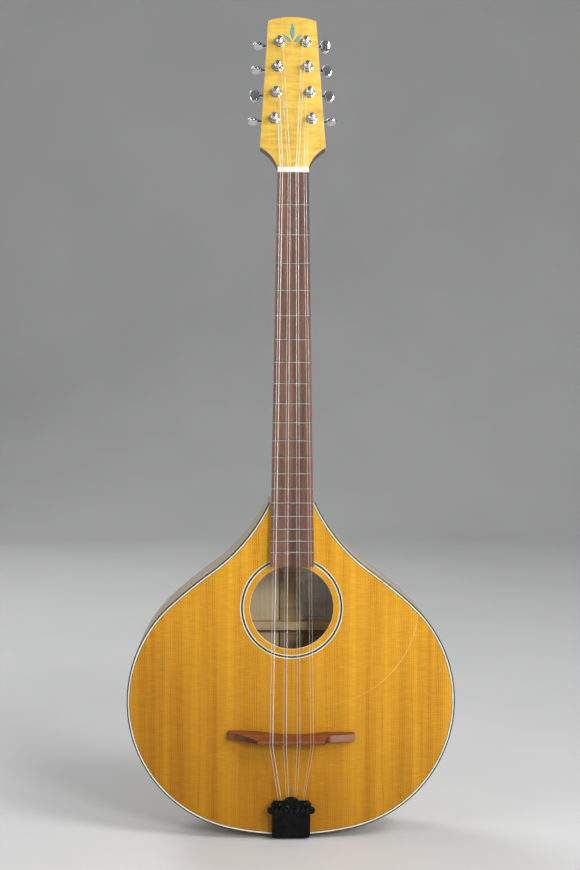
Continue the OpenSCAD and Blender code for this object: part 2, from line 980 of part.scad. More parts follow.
module button_plan() {
    end_r = button_w / 2;
    reach = (button_l - button_w) / 2;
    translate([0, reach]) circle(r = end_r);
    translate([0, -reach]) circle(r = end_r);
    translate([-end_r, -reach]) square([button_w, 2 * reach]);
}

module tuner_button(i) {
    color("silver") at_tuner(i) translate([0, worm_y, worm_off]) union() {
        rod_x(case_x[0] + case_wall + 0.3, case_x[1] - case_wall - 0.3, worm_r);
        rod_x(case_x[1] - case_wall - 1, button_x, shaft_r);
        rod_x(case_x[1] + 0.3, case_x[1] + 1.8, 3);
        translate([button_x, 0, 0]) rotate([button_face[i], 0, 0])
            slab(-button_t / 2, button_t / 2) button_plan();
    }
}

soundboard_bass();
soundboard_treble();
back_bass();
back_treble();
rim_bass();
rim_treble();
tail_wedge();
neck_block();
tail_block();
top_linings();
back_linings();
top_braces();
back_braces();
back_strip();
top_binding();
back_binding();
purfling_cream();
purfling_black();
rosette_cream();
rosette_black();
label();
neck();
heel_cap();
truss_rod();
fingerboard();
board_wedge();
frets();
nut();
side_dots();
head_veneer();
head_inlay();
strap_button();
tailpiece_base();
tailpiece_cover();
tailpiece_screws();
bridge();
string_course_1();
string_course_2();
string_course_3();
string_course_4();
tuner_housings();
tuner_bushings();
tuner_screws();
tuner_post(0);  // tuner_post_1
tuner_post(1);  // tuner_post_2
tuner_post(2);  // tuner_post_3
tuner_post(3);  // tuner_post_4
tuner_post(4);  // tuner_post_5
tuner_post(5);  // tuner_post_6
tuner_post(6);  // tuner_post_7
tuner_post(7);  // tuner_post_8
tuner_button(0);  // tuner_button_1
tuner_button(1);  // tuner_button_2
tuner_button(2);  // tuner_button_3
tuner_button(3);  // tuner_button_4
tuner_button(4);  // tuner_button_5
tuner_button(5);  // tuner_button_6
tuner_button(6);  // tuner_button_7
tuner_button(7);  // tuner_button_8
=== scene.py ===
import math

import bmesh
import bpy
import numpy as np
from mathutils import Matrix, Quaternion, Vector


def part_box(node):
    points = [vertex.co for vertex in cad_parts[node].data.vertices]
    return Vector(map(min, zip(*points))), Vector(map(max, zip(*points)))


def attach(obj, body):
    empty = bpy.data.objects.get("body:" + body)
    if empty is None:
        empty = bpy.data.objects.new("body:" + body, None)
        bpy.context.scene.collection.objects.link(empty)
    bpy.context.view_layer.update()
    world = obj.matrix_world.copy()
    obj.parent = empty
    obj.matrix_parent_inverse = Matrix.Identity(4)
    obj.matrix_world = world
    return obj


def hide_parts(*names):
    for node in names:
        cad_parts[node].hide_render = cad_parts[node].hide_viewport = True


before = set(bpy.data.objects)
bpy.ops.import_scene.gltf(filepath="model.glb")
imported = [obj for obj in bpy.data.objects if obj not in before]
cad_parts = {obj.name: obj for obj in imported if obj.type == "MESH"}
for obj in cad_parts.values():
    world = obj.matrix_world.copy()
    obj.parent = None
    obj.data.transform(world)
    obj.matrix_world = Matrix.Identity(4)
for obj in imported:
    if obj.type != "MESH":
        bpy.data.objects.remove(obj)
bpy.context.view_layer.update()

# ---- Studio: floor, wall, lights and camera ------------------------------------
# A plain pale floor that sweeps up into a plain wall, large soft boxes at the sides and
# behind, and smaller ones above and in front. Lengths are millimetres until a mesh is
# made of them, but the lights are placed in metres.

MM = 0.001


def node(tree, kind, inputs=None, **settings):
    """Adds a shader node; inputs maps sockets to a value or to another socket."""
    made = tree.nodes.new(kind)
    for key, value in settings.items():
        setattr(made, key, value)
    for key, value in (inputs or {}).items():
        if isinstance(value, bpy.types.NodeSocket):
            tree.links.new(value, made.inputs[key])
        else:
            made.inputs[key].default_value = value
    return made


def ramp(tree, value, low, high, out_low=0.0, out_high=1.0):
    """Carries value from low..high to out_low..out_high with a soft start and end."""
    return node(tree, "ShaderNodeMapRange", {0: value, 1: low, 2: high, 3: out_low,
                4: out_high}, interpolation_type="SMOOTHSTEP").outputs[0]


def place_mm(tree, source="object"):
    """The point being shaded in millimetres: in the row frame, or as the piece's own
    stored grain coordinates, which run along it."""
    if source == "grain":
        return node(tree, "ShaderNodeAttribute", attribute_name="grain").outputs["Vector"]
    coords = node(tree, "ShaderNodeTexCoord").outputs["Object"]
    return node(tree, "ShaderNodeVectorMath", {0: coords, 1: (1000, 1000, 1000)},
                operation="MULTIPLY").outputs[0]


def blobs(tree, place, sizes, detail=2.0, distortion=0.0):
    """Noise whose blobs are about sizes millimetres across along each axis."""
    scaled = node(tree, "ShaderNodeVectorMath", {0: place, 1: tuple(1 / s for s in sizes)},
                  operation="MULTIPLY").outputs[0]
    return node(tree, "ShaderNodeTexNoise", {"Vector": scaled, "Scale": 1.0,
                "Detail": detail, "Distortion": distortion}).outputs["Fac"]


def new_material(name):
    """An empty node material with a Principled shader; returns material, tree, shader."""
    made = bpy.data.materials.new(name)
    made.use_nodes = True
    return made, made.node_tree, made.node_tree.nodes["Principled BSDF"]


def build_mesh(name, vertices, faces, material, smooth_angle, grain):
    """Turns vertices in millimetres and index faces into an object: doubled points are
    merged, faces turned outwards, and edges over the angle kept sharp."""
    mesh = bpy.data.meshes.new(name)
    mesh.from_pydata((np.asarray(vertices) * MM).tolist(), [], faces)
    if grain is not None:
        stored = mesh.attributes.new("grain", "FLOAT_VECTOR", "POINT")
        stored.data.foreach_set("vector", np.asarray(grain, np.float32).ravel())
    work = bmesh.new()
    work.from_mesh(mesh)
    bmesh.ops.remove_doubles(work, verts=work.verts, dist=1e-6)
    bmesh.ops.dissolve_degenerate(work, edges=work.edges, dist=1e-7)
    bmesh.ops.recalc_face_normals(work, faces=work.faces)
    work.to_mesh(mesh)
    work.free()
    mesh.shade_smooth()
    mesh.set_sharp_from_angle(angle=math.radians(smooth_angle))
    mesh.materials.append(material)
    made = bpy.data.objects.new(name, mesh)
    bpy.context.scene.collection.objects.link(made)
    return made


def grid_faces(rows, columns, wrap_rows=False, wrap_columns=False, first=0):
    """Quads over a grid of points numbered row by row from first."""
    r = np.arange(rows if wrap_rows else rows - 1)
    c = np.arange(columns if wrap_columns else columns - 1)
    r, c = np.meshgrid(r, c, indexing="ij")
    r2, c2 = (r + 1) % rows, (c + 1) % columns
    quads = np.stack([r * columns + c, r * columns + c2, r2 * columns + c2,
                      r2 * columns + c], axis=-1)
    return (quads.reshape(-1, 4) + first).tolist()


def shells(name, parts, material, smooth_angle=35, grain=None):
    """One object from several grids. Each part is (points[rows, columns, 3], wrap_rows,
    wrap_columns, caps); caps closes the first and last row with a face each."""
    vertices, faces, first = [], [], 0
    for points, wrap_rows, wrap_columns, caps in parts:
        rows, columns = points.shape[:2]
        vertices.append(points.reshape(-1, 3))
        faces += grid_faces(rows, columns, wrap_rows, wrap_columns, first)
        if caps:
            faces.append([first + k for k in range(columns)])
            faces.append([first + (rows - 1) * columns + k for k in range(columns)])
        first += rows * columns
    return build_mesh(name, np.concatenate(vertices), faces, material, smooth_angle, grain)


floor_z, floor_front, floor_half = -4.0, -5000.0, 7000.0
wall_y, wall_top, sweep_r = 4400.0, 5500.0, 1500.0

floor_paint, tree, shader = new_material("floor_paint")
mottle = blobs(tree, place_mm(tree), (400, 400, 400), 3.0)
tone = ramp(tree, mottle, 0.0, 1.0, 0.56, 0.62)
grey = node(tree, "ShaderNodeCombineColor", {0: tone, 1: tone, 2: tone})
tree.links.new(grey.outputs[0], shader.inputs["Base Color"])
shader.inputs["Roughness"].default_value = 0.8

# The sweep is a straight floor, a quarter circle and a straight wall, carried along X.
arc = np.linspace(0, math.pi / 2, 24)
section = np.concatenate([
    [[floor_front, floor_z]],
    np.stack([wall_y - sweep_r + sweep_r * np.sin(arc),
              floor_z + sweep_r - sweep_r * np.cos(arc)], axis=1),
    [[wall_y, wall_top]]])
sweep = np.zeros((2, len(section), 3))
sweep[:, :, 0] = [[-floor_half], [floor_half]]
sweep[:, :, 1:] = section
backdrop = shells("backdrop", [(sweep, False, False, False)], floor_paint)


def soft_box(name, at, aim, size, power):
    """A white rectangular area light at one point, turned to face another."""
    light = bpy.data.lights.new(name, "AREA")
    light.shape = "RECTANGLE"
    light.size, light.size_y = size
    light.energy = power
    made = bpy.data.objects.new(name, light)
    made.location = at
    way = Vector(aim) - Vector(at)
    made.rotation_euler = way.to_track_quat("-Z", "Y").to_euler()
    bpy.context.scene.collection.objects.link(made)


soft_box("left_soft_box", (-2.1, -1.7, 1.3), (0.0, 0.0, 0.5), (1.0, 1.6), 20)
soft_box("right_soft_box", (2.1, -1.7, 1.5), (0.0, 0.0, 0.5), (1.0, 1.6), 28)
soft_box("top_soft_box", (1.05, -1.0, 1.55), (0.05, 0.0, 0.4), (0.7, 0.6), 17)
soft_box("front_soft_box", (1.15, -2.4, 1.2), (0.0, 0.0, 0.35), (0.6, 0.6), 34)
soft_box("rear_soft_box", (-1.3, 1.9, 2.3), (0.0, 0.0, 0.45), (1.4, 1.4), 36)

# The room is pale overhead and behind, and darker in front.
world = bpy.data.worlds.new("studio")
world.use_nodes = True
tree = world.node_tree
way = node(tree, "ShaderNodeTexCoord").outputs["Generated"]
way = node(tree, "ShaderNodeSeparateXYZ", {0: way})
front = ramp(tree, way.outputs[1], -0.9, -0.2, 0.16, 0.34)
tree.nodes["Background"].inputs["Color"].default_value = (0.97, 0.98, 1.0, 1)
tree.links.new(front, tree.nodes["Background"].inputs["Strength"])
bpy.context.scene.world = world
bpy.context.scene.view_settings.view_transform = "Standard"

# The neck leans back from the soundboard. The camera looks almost square at the
# fingerboard from 1.65 m, level with the upper part of the neck and very slightly
# turned and rolled.
neck_angle = math.radians(2.5)
scale_len = 650.0
body_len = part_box("top_binding")[1].z / MM
top_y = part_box("top_binding")[0].y / MM
board_t = 6.0


def fret_s(n):
    """Distance of fret n from the nut: the string length times 1 - 2^(-n/12)."""
    return scale_len * (1 - 2 ** (-n / 12))


joint_s = fret_s(15)


def neck_points(x, deep, up):
    """Points in the neck's frame, carried to the row frame: deep runs into the neck
    from its top face, up runs along it from the body joint."""
    x, deep, up = np.broadcast_arrays(np.asarray(x, float), deep, up)
    return np.stack([x, top_y + deep * math.cos(neck_angle) + up * math.sin(neck_angle),
                     body_len - deep * math.sin(neck_angle) + up * math.cos(neck_angle)],
                    axis=-1)


camera_far, aim_x, aim_s = 1650.0, -2.8, 299.4
camera_yaw = math.radians(1.75)
camera_roll = math.radians(0.22)
target = Vector(neck_points(aim_x, -board_t, joint_s - aim_s))
out = Vector((0, -math.cos(neck_angle), math.sin(neck_angle)))
out.rotate(Quaternion((0, 0, 1), -camera_yaw))
camera_data = bpy.data.cameras.new("camera")
camera_data.lens = 59.9
camera_data.sensor_width = 36
camera = bpy.data.objects.new("camera", camera_data)
camera.location = (target + out * camera_far) * MM
aim = (-out).to_track_quat("-Z", "Y") @ Quaternion((0, 0, 1), camera_roll)
camera.rotation_euler = aim.to_euler()
bpy.context.scene.collection.objects.link(camera)
bpy.context.scene.camera = camera

# ---- Rims and tail wedge ---------------------------------------------------------
# The sides are two strips of pale hardwood bent to the body's outline, with a dark
# wedge let in where they meet at the tail. They are glued to the top and back.

tail_turn, bout_turn, shoulder_turn = 12.3, 137.3, 144.2
tail_r, bout_r, shoulder_r, throat_r = 326.5, 152.0, 522.0, 201.0
tail_back_y = -top_y
back_slope = 15.0 / 386.0
back_stretch = math.hypot(1, back_slope)
rim_t, plate_t = 2.2, 3.0
binding_w, binding_d = 1.5, 5.0
wedge_x = 4.0


def heading(degrees):
    """(sin a, -cos a), the way from an arc's centre to its point at heading a."""
    a = np.radians(degrees)
    return np.stack([np.sin(a), -np.cos(a)], axis=-1)


# Each arc's centre lies on the line through the join with the arc before it.
tail_c = np.array([0.0, tail_r])
bout_c = tail_c + (tail_r - bout_r) * heading(tail_turn)
shoulder_c = bout_c + (bout_r - shoulder_r) * heading(bout_turn)
throat_c = shoulder_c + (shoulder_r + throat_r) * heading(shoulder_turn)


def outline_side(inset, start_x=0.0):
    """The treble half of the outline from tail to neck as (X, Z), set in from the rim:
    four arcs, each centre + radius (sin a, -cos a), cut off where Z = body_len."""
    start = math.degrees(math.asin(start_x / (tail_r - inset)))
    end = math.degrees(math.acos((body_len - throat_c[1]) / (throat_r + inset)))
    arcs = ((tail_c, tail_r - inset, start, tail_turn, 16),
            (bout_c, bout_r - inset, tail_turn, bout_turn, 90),
            (shoulder_c, shoulder_r - inset, bout_turn, shoulder_turn, 12),
            (throat_c, -throat_r - inset, shoulder_turn, end, 30))
    return np.concatenate([centre + radius * heading(np.linspace(a, b, n + 1))
                           for centre, radius, a, b, n in arcs])


def on_front(depth):
    """Y of a surface depth below the soundboard's face."""
    return lambda z: top_y + depth + 0 * z


def on_back(depth):
    """Y of a surface depth in front of the back's face, which leans by back_slope."""
    return lambda z: tail_back_y - z * back_slope - depth * back_stretch


def calc(tree, operation, *values, clamp=False):
    """One Math node over numbers or sockets; returns its output."""
    made = node(tree, "ShaderNodeMath", dict(enumerate(values)), operation=operation)
    made.use_clamp = clamp
    return made.outputs[0]


def mixed(tree, factor, first, second):
    """Mixes two colours, each a tuple or a socket."""
    made = node(tree, "ShaderNodeMix", {0: factor}, data_type="RGBA")
    for index, colour in ((6, first), (7, second)):
        if isinstance(colour, bpy.types.NodeSocket):
            tree.links.new(colour, made.inputs[index])
        else:
            made.inputs[index].default_value = (*colour, 1.0)
    return made.outputs[2]


def relief(tree, shader, height, depth):
    """Bumps the surface by depth millimetres where height goes from 0 to 1."""
    bump = node(tree, "ShaderNodeBump", {"Height": height, "Distance": depth * MM})
    tree.links.new(bump.outputs[0], shader.inputs["Normal"])


def finish_piece(piece, slot_name, *nodes, body="body"):
    """Ties a finished piece to its body and hides the CAD nodes it stands for; slot_name is
    not used.
    """
    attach(piece, body)
    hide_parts(*nodes)


def edge_strip(name, section, material, side=0, start_x=0.0):
    """A strip along the body's edge, or along one side of it (-1 bass, 1 treble). section
    lists (inset, y of z) pairs round the strip, each carried along the outline."""
    columns = []
    for inset, y_of_z in section:
        half = outline_side(inset, start_x)
        path = half * (side, 1) if side else np.concatenate([half[::-1] * (-1, 1), half])
        columns.append(np.stack([path[:, 0], y_of_z(path[:, 1]), path[:, 1]], axis=1))
    points = np.stack(columns, axis=1)
    steps = np.linalg.norm(np.diff(points[:, 0], axis=0), axis=1)
    # The two sides are cut from one plank, 700 mm apart along its grain.
    along = np.concatenate([[0], np.cumsum(steps)])[:, None] + 700 * side
    insets = np.array([inset for inset, _ in section])
    grain = np.stack(np.broadcast_arrays(points[..., 1], insets, along), axis=-1)
    return shells(name, [(points, False, True, True)], material,
                  grain=grain.reshape(-1, 3))


def wood(name, light, dark, along=2, source="object", mirror=False, ring=2.0, rings=0.3,
         streaks=0.6, pores=0.0, figure=0.0, silk=0.0, rough=0.35, coat=0.0, shine=0.35,
         bump=0.03):
    """Wood across u and v with its grain along w, in millimetres. Growth rings are
    (1/2 + 1/2 sin(2 pi (u + wander) / ring))^3; streaks, pores, curl figure and the
    silk across the grain are noise stretched along w or u."""
    made, tree, shader = new_material(name)
    split = node(tree, "ShaderNodeSeparateXYZ", {0: place_mm(tree, source)})
    across = [k for k in range(3) if k != along]
    u = split.outputs[across[0]]
    if mirror:
        u = calc(tree, "ABSOLUTE", u)
    place = node(tree, "ShaderNodeCombineXYZ", {0: u, 1: split.outputs[across[1]],
                 2: split.outputs[along]}).outputs[0]
    wander = blobs(tree, place, (34, 34, 260), 2.0)
    broad = blobs(tree, place, (17, 17, 420), 2.0)
    fine = blobs(tree, place, (0.7, 0.7, 90), 4.0)
    phase = calc(tree, "MULTIPLY_ADD", wander, 16.0, u)
    wave = calc(tree, "SINE", calc(tree, "MULTIPLY", phase, 2 * math.pi / ring))
    late = calc(tree, "POWER", calc(tree, "MULTIPLY_ADD", wave, 0.5, 0.5), 3.0)
    # Some years grow close and dark and others wide and pale, so the lines come and go.
    years = ramp(tree, blobs(tree, place, (5, 5, 700), 2.0), 0.3, 0.7, 0.1, 1.5)
    amount = calc(tree, "MULTIPLY", calc(tree, "MULTIPLY", late, years), rings)
    amount = calc(tree, "MULTIPLY_ADD", calc(tree, "SUBTRACT", fine, 0.5), streaks, amount)
    amount = calc(tree, "MULTIPLY_ADD", calc(tree, "SUBTRACT", broad, 0.5),
                  2.2 * streaks, amount)
    height = late
    if figure:
        curl = blobs(tree, place, (26, 26, 4.5), 1.0, 0.6)
        amount = calc(tree, "MULTIPLY_ADD", calc(tree, "SUBTRACT", curl, 0.5), figure, amount)
    if silk:
        flecks = blobs(tree, place, (11, 11, 1.1), 2.0)
        amount = calc(tree, "MULTIPLY_ADD", calc(tree, "SUBTRACT", flecks, 0.5), silk, amount)
    amount = calc(tree, "ADD", amount, 0.3, clamp=True)
    colour = mixed(tree, amount, light, dark)
    if pores:
        pore = ramp(tree, blobs(tree, place, (0.32, 0.32, 6.5), 2.0), 0.6, 0.72)
        colour = mixed(tree, calc(tree, "MULTIPLY", pore, pores), colour,
                       tuple(0.25 * c for c in dark))
        height = calc(tree, "SUBTRACT", height, calc(tree, "MULTIPLY", pore, 3 * pores))
    tree.links.new(colour, shader.inputs["Base Color"])
    # Handling leaves a lacquer or an oiled face shinier in patches and duller in others.
    worn = blobs(tree, place, (30, 30, 55), 4.0)
    gloss = calc(tree, "MULTIPLY_ADD", calc(tree, "SUBTRACT", worn, 0.5), 0.22, rough)
    gloss = calc(tree, "MULTIPLY_ADD", calc(tree, "SUBTRACT", fine, 0.5), 0.1, gloss)
    tree.links.new(gloss, shader.inputs["Roughness"])
    shader.inputs["Specular IOR Level"].default_value = shine
    shader.inputs["Coat Weight"].default_value = coat
    shader.inputs["Coat Roughness"].default_value = 0.12
    relief(tree, shader, height, bump)
    return made


rim_wood = wood("rim_wood", (0.56, 0.44, 0.29), (0.33, 0.24, 0.14), source="grain",
                ring=5.5, rings=0.25, streaks=0.7, pores=0.5, figure=0.12, rough=0.36,
                coat=0.25)
rim_section = [(0, on_front(binding_d)), (0, on_back(binding_d)),
               (binding_w, on_back(binding_d)), (binding_w, on_back(plate_t)),
               (rim_t, on_back(plate_t)), (rim_t, on_front(plate_t)),
               (binding_w, on_front(plate_t)),
               (binding_w, on_front(binding_d))]
for name, side in (("rim_bass", -1), ("rim_treble", 1)):
    rim = edge_strip(name + "_side", rim_section, rim_wood, side, wedge_x + 0.05)
    finish_piece(rim, "rim_wood", name)


def dress(material, *nodes):
    """Gives CAD nodes that are shown as they are a better material."""
    for name in nodes:
        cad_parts[name].data.materials.clear()
        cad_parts[name].data.materials.append(material)


wedge_wood = wood("wedge_wood", (0.10, 0.045, 0.022), (0.045, 0.02, 0.012), along=1,
                  pores=0.6, rough=0.35, coat=0.25)
dress(wedge_wood, "tail_wedge")

# ---- Bindings --------------------------------------------------------------------
# A black strip is let into the corner all round the top and the back, 1.5 mm wide and
# 5 mm deep. Its outer corner is scraped round, and it is glued to the rim.


def solid(name, colour, shade, rough, coat=0.0, speck=(1.2, 1.2, 1.2)):
    """A plain cast or cut stuff: two close colours in soft clouds and fine specks,
    with hand polish that wears the shine unevenly."""
    made, tree, shader = new_material(name)
    place = place_mm(tree)
    cloud = blobs(tree, place, (22, 22, 22), 3.0)
    fleck = blobs(tree, place, speck, 3.0)
    amount = calc(tree, "MULTIPLY_ADD", calc(tree, "SUBTRACT", fleck, 0.5), 0.9,
                  ramp(tree, cloud, 0.3, 0.7), clamp=True)
    tree.links.new(mixed(tree, amount, colour, shade), shader.inputs["Base Color"])
    gloss = calc(tree, "MULTIPLY_ADD", calc(tree, "SUBTRACT", cloud, 0.5), 0.3, rough)
    gloss = calc(tree, "MULTIPLY_ADD", calc(tree, "SUBTRACT", fleck, 0.5), 0.12, gloss)
    tree.links.new(gloss, shader.inputs["Roughness"])
    shader.inputs["Coat Weight"].default_value = coat
    relief(tree, shader, fleck, 0.01)
    return made


black_binding = solid("black_binding", (0.012, 0.012, 0.013), (0.024, 0.022, 0.021),
                      0.24, 0.3)
for name, face in (("top_binding", on_front), ("back_binding", on_back)):
    corner = [(binding_w, face(0)), (0.7, face(0)), (0.3, face(0.1)), (0.1, face(0.3)),
              (0, face(0.7)), (0, face(binding_d)), (binding_w, face(binding_d))]
    strip = edge_strip(name + "_strip", corner, black_binding)
    finish_piece(strip, "black_binding", name)

# ---- Purflings -------------------------------------------------------------------
# Inside the binding, a cream line and a thin black line are inlaid in the soundboard,
# 1.5 mm deep and scraped flush with it.

cream_in, black_in, purfling_d = 3.1, 3.7, 1.5
cream_line = solid("cream_line", (0.70, 0.66, 0.50), (0.58, 0.53, 0.38), 0.4)
dark_line = solid("dark_line", (0.010, 0.017, 0.018), (0.022, 0.032, 0.034), 0.4)
for name, low, high, material in (("purfling_cream", binding_w, cream_in, cream_line),
                                  ("purfling_black", cream_in, black_in, dark_line)):
    corner = [(high, on_front(0)), (low, on_front(0)), (low, on_front(purfling_d)),
              (high, on_front(purfling_d))]
    strip = edge_strip(name + "_line", corner, material)
    finish_piece(strip, "cream_line" if low == binding_w else "dark_line", name)

# ---- Soundboard ------------------------------------------------------------------
# Two bookmatched halves of quartered spruce, 3 mm thick, joined down the middle and
# lacquered golden. Its sound hole has a broken edge and a channel for the rosette.

hole_r, hole_z = 48.0, 265.0
rosette_r = (54.75, 56.05, 58.15, 59.35)
rosette_d = 1.0
scratch_x, scratch_z, scratch_r = 30.0, 268.0, 116.0


def outline_loop(inset):
    """The whole outline as a closed loop: treble half, neck end, bass half."""
    half = outline_side(inset)
    end = half[-1, 0]
    line = np.stack([np.linspace(end, -end, 13)[1:-1], np.full(11, body_len)], axis=1)
    return np.concatenate([half, line, half[:0:-1] * (-1, 1)])


loop = outline_loop(black_in)
turn = np.arctan2(loop[:, 0], loop[:, 1] - hole_z)


def hole_loop(radius):
    """A circle round the sound hole with one point for each point of the outline."""
    return np.stack([radius * np.sin(turn), hole_z + radius * np.cos(turn)], axis=1)


board_rows = [(hole_loop(hole_r), plate_t - 0.3), (hole_loop(hole_r), 0.5),
              (hole_loop(hole_r + 0.15), 0.15), (hole_loop(hole_r + 0.5), 0.0),
              (hole_loop(rosette_r[0]), 0.0), (hole_loop(rosette_r[0]), rosette_d),
              (hole_loop(rosette_r[3]), rosette_d), (hole_loop(rosette_r[3]), 0.0),
              (loop, 0.0), (loop, purfling_d), (outline_loop(binding_w), purfling_d),
              (outline_loop(binding_w), plate_t), (hole_loop(hole_r + 0.3), plate_t)]
points = np.stack([np.stack([xz[:, 0], np.full(len(xz), top_y + deep), xz[:, 1]], axis=1)
                   for xz, deep in board_rows])
spruce = wood("golden_spruce", (0.70, 0.36, 0.022), (0.38, 0.14, 0.003), mirror=True,
              ring=2.1, rings=0.34, streaks=0.55, silk=0.6, rough=0.42, shine=0.2,
              bump=0.012)
tree = spruce.node_tree
shader = tree.nodes["Principled BSDF"]
split = node(tree, "ShaderNodeSeparateXYZ", {0: place_mm(tree)})
# The colour is darker towards the tail and the bass side, painted shade. The centre joint
# shows as a hair line, and play has left a long faint scratch on the treble side: the
# points within 0.3 mm of a circle. The ring at the hole's edge is made paler.
seam = ramp(tree, calc(tree, "ABSOLUTE", split.outputs[0]), 0.12, 0.3, 0.35, 0.0)
reach = calc(tree, "POWER", calc(tree, "SUBTRACT", split.outputs[0], scratch_x), 2.0)
rise = calc(tree, "POWER", calc(tree, "SUBTRACT", split.outputs[2], scratch_z), 2.0)
off = calc(tree, "ABSOLUTE", calc(tree, "SUBTRACT", calc(tree, "SQRT",
           calc(tree, "ADD", reach, rise)), scratch_r))
mark = calc(tree, "MULTIPLY", ramp(tree, off, 0.15, 0.45, 0.45, 0.0),
            ramp(tree, split.outputs[0], 20.0, 120.0))
base = shader.inputs["Base Color"].links[0].from_socket
slant = calc(tree, "MULTIPLY_ADD", split.outputs[0], 0.45, split.outputs[2])
# Painted shade: the colour is multiplied darker towards the tail and the bass side.
tail_and_bass_shade = ramp(tree, slant, -60.0, 340.0, 0.8, 0.0)
deep = node(tree, "ShaderNodeMix", {0: tail_and_bass_shade, 6: base, 7: (0.46, 0.35, 0.09, 1.0)},
            data_type="RGBA", blend_type="MULTIPLY").outputs[2]
base = mixed(tree, seam, deep, (0.10, 0.04, 0.01))
base = mixed(tree, mark, base, (0.80, 0.52, 0.20))
centre_out = calc(tree, "SQRT", calc(tree, "ADD",
                  calc(tree, "POWER", split.outputs[0], 2.0),
                  calc(tree, "POWER", calc(tree, "SUBTRACT", split.outputs[2], hole_z), 2.0)))
pale_hole_edge = ramp(tree, centre_out, hole_r + 0.25, hole_r + 0.5, 0.8, 0.0)
tree.links.new(mixed(tree, pale_hole_edge, base, (0.86, 0.66, 0.34)), shader.inputs["Base Color"])
board = shells("soundboard", [(points, True, True, False)], spruce)
finish_piece(board, "spruce_top", "soundboard_bass", "soundboard_treble")

# ---- Rosette ---------------------------------------------------------------------
# Three flush rings round the sound hole, cream, dark and cream, glued into a channel
# 1 mm deep in the soundboard.


def turned(profile, axis, count=48):
    """A turned shape: each (along, radius) pair is a ring round the X, Y or Z axis, with
    points (along, radius cos t, radius sin t) in that axis's order."""
    along, radius = np.asarray(profile, float).T
    turn = np.linspace(0, 2 * math.pi, count, endpoint=False)
    ring = np.stack(np.broadcast_arrays(along[:, None], radius[:, None] * np.cos(turn),
                                        radius[:, None] * np.sin(turn)), axis=-1)
    return np.roll(ring, axis, axis=-1)


def flat_ring(low, high):
    """A ring let into the soundboard, from one radius to another."""
    face, floor = top_y, top_y + rosette_d
    points = turned([(face, low + 0.02), (face, high - 0.02), (floor, high), (floor, low)],
                    1, 240) + (0, 0, hole_z)
    return (points, True, True, False)


rosette = shells("rosette_pale_rings", [flat_ring(*rosette_r[:2]), flat_ring(*rosette_r[2:])],
                 cream_line)
finish_piece(rosette, "cream_line", "rosette_cream")
rosette = shells("rosette_dark_ring", [flat_ring(*rosette_r[1:3])], dark_line)
finish_piece(rosette, "dark_line", "rosette_black")

# ---- Back and inner woodwork -----------------------------------------------------
# The flat back is two bookmatched halves of hardwood. Inside are bare spruce braces,
# linings, end blocks and the strip over the back joint, all glued.

back_wood = wood("back_wood", (0.66, 0.52, 0.31), (0.42, 0.29, 0.14), mirror=True,
                 ring=6.0, rings=0.35, streaks=0.8, pores=0.6, figure=0.14, rough=0.34,
                 coat=0.3)
inner_wood = wood("inner_wood", (0.74, 0.58, 0.34), (0.50, 0.35, 0.17), along=0, ring=1.9,
                  rings=0.4, streaks=0.6, silk=0.2, rough=0.62)
block_wood = wood("block_wood", (0.66, 0.50, 0.31), (0.45, 0.31, 0.17), ring=2.4,
                  rings=0.4, streaks=0.6, rough=0.62)
tree = back_wood.node_tree
shader = tree.nodes["Principled BSDF"]
split = node(tree, "ShaderNodeSeparateXYZ", {0: place_mm(tree)})
# Only the outside is lacquered. The face inside, past the middle of the 3 mm, is pale and
# raw, with a line of painted shade along each side of the strip.
strip_shade_x = 12.2
depth_in = calc(tree, "MULTIPLY_ADD", split.outputs[2], -back_slope,
                tail_back_y - plate_t / 2)
inside = ramp(tree, calc(tree, "SUBTRACT", depth_in, split.outputs[1]), -0.2, 0.2)
# Painted shade: a dark line along each edge of the strip on the inside face.
strip_edge_shade = ramp(tree, calc(tree, "ABSOLUTE", calc(tree, "SUBTRACT", calc(tree, "ABSOLUTE",
            split.outputs[0]), strip_shade_x)), 0.5, 1.3, 0.85, 0.0)
base = shader.inputs["Base Color"].links[0].from_socket
raw = mixed(tree, calc(tree, "MULTIPLY", inside, 0.45), base, (0.90, 0.76, 0.50))
tree.links.new(mixed(tree, calc(tree, "MULTIPLY", inside, strip_edge_shade), raw, (0.10, 0.06, 0.035)),
               shader.inputs["Base Color"])
dress(back_wood, "back_bass", "back_treble")
strip_wood = wood("strip_wood", (0.50, 0.36, 0.18), (0.28, 0.18, 0.08), along=0, ring=2.2,
                  rings=0.4, streaks=0.8, rough=0.6)
dress(inner_wood, "top_braces", "back_braces")
dress(strip_wood, "back_strip")
dress(block_wood, "neck_block", "tail_block", "top_linings", "back_linings")

# ---- Label -----------------------------------------------------------------------
# A plain sheet of aged paper inside the back, seen through the sound hole, with a
# ruled border and faint ruled lines and nothing written on it.

label_low, label_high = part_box("label")
paper, tree, shader = new_material("label_paper")
place = place_mm(tree)
split = node(tree, "ShaderNodeSeparateXYZ", {0: place})
sides = [calc(tree, "SUBTRACT", split.outputs[0], label_low.x / MM),
         calc(tree, "SUBTRACT", label_high.x / MM, split.outputs[0]),
         calc(tree, "SUBTRACT", split.outputs[2], label_low.z / MM),
         calc(tree, "SUBTRACT", label_high.z / MM, split.outputs[2])]
edge = calc(tree, "MINIMUM", calc(tree, "MINIMUM", sides[0], sides[1]),
            calc(tree, "MINIMUM", sides[2], sides[3]))
frame_line = ramp(tree, calc(tree, "ABSOLUTE", calc(tree, "SUBTRACT", edge, 3.0)),
                  0.2, 0.4, 1.0, 0.0)
row = calc(tree, "ABSOLUTE", calc(tree, "SUBTRACT", calc(tree, "PINGPONG", sides[2], 5.0),
                                  5.0))
rule = calc(tree, "MULTIPLY", ramp(tree, row, 0.1, 0.25, 0.5, 0.0),
            ramp(tree, edge, 6.0, 6.4))
ink = calc(tree, "MULTIPLY", calc(tree, "MAXIMUM", frame_line, rule), 0.7)
fibre = blobs(tree, place, (1.5, 1.5, 1.5), 4.0)
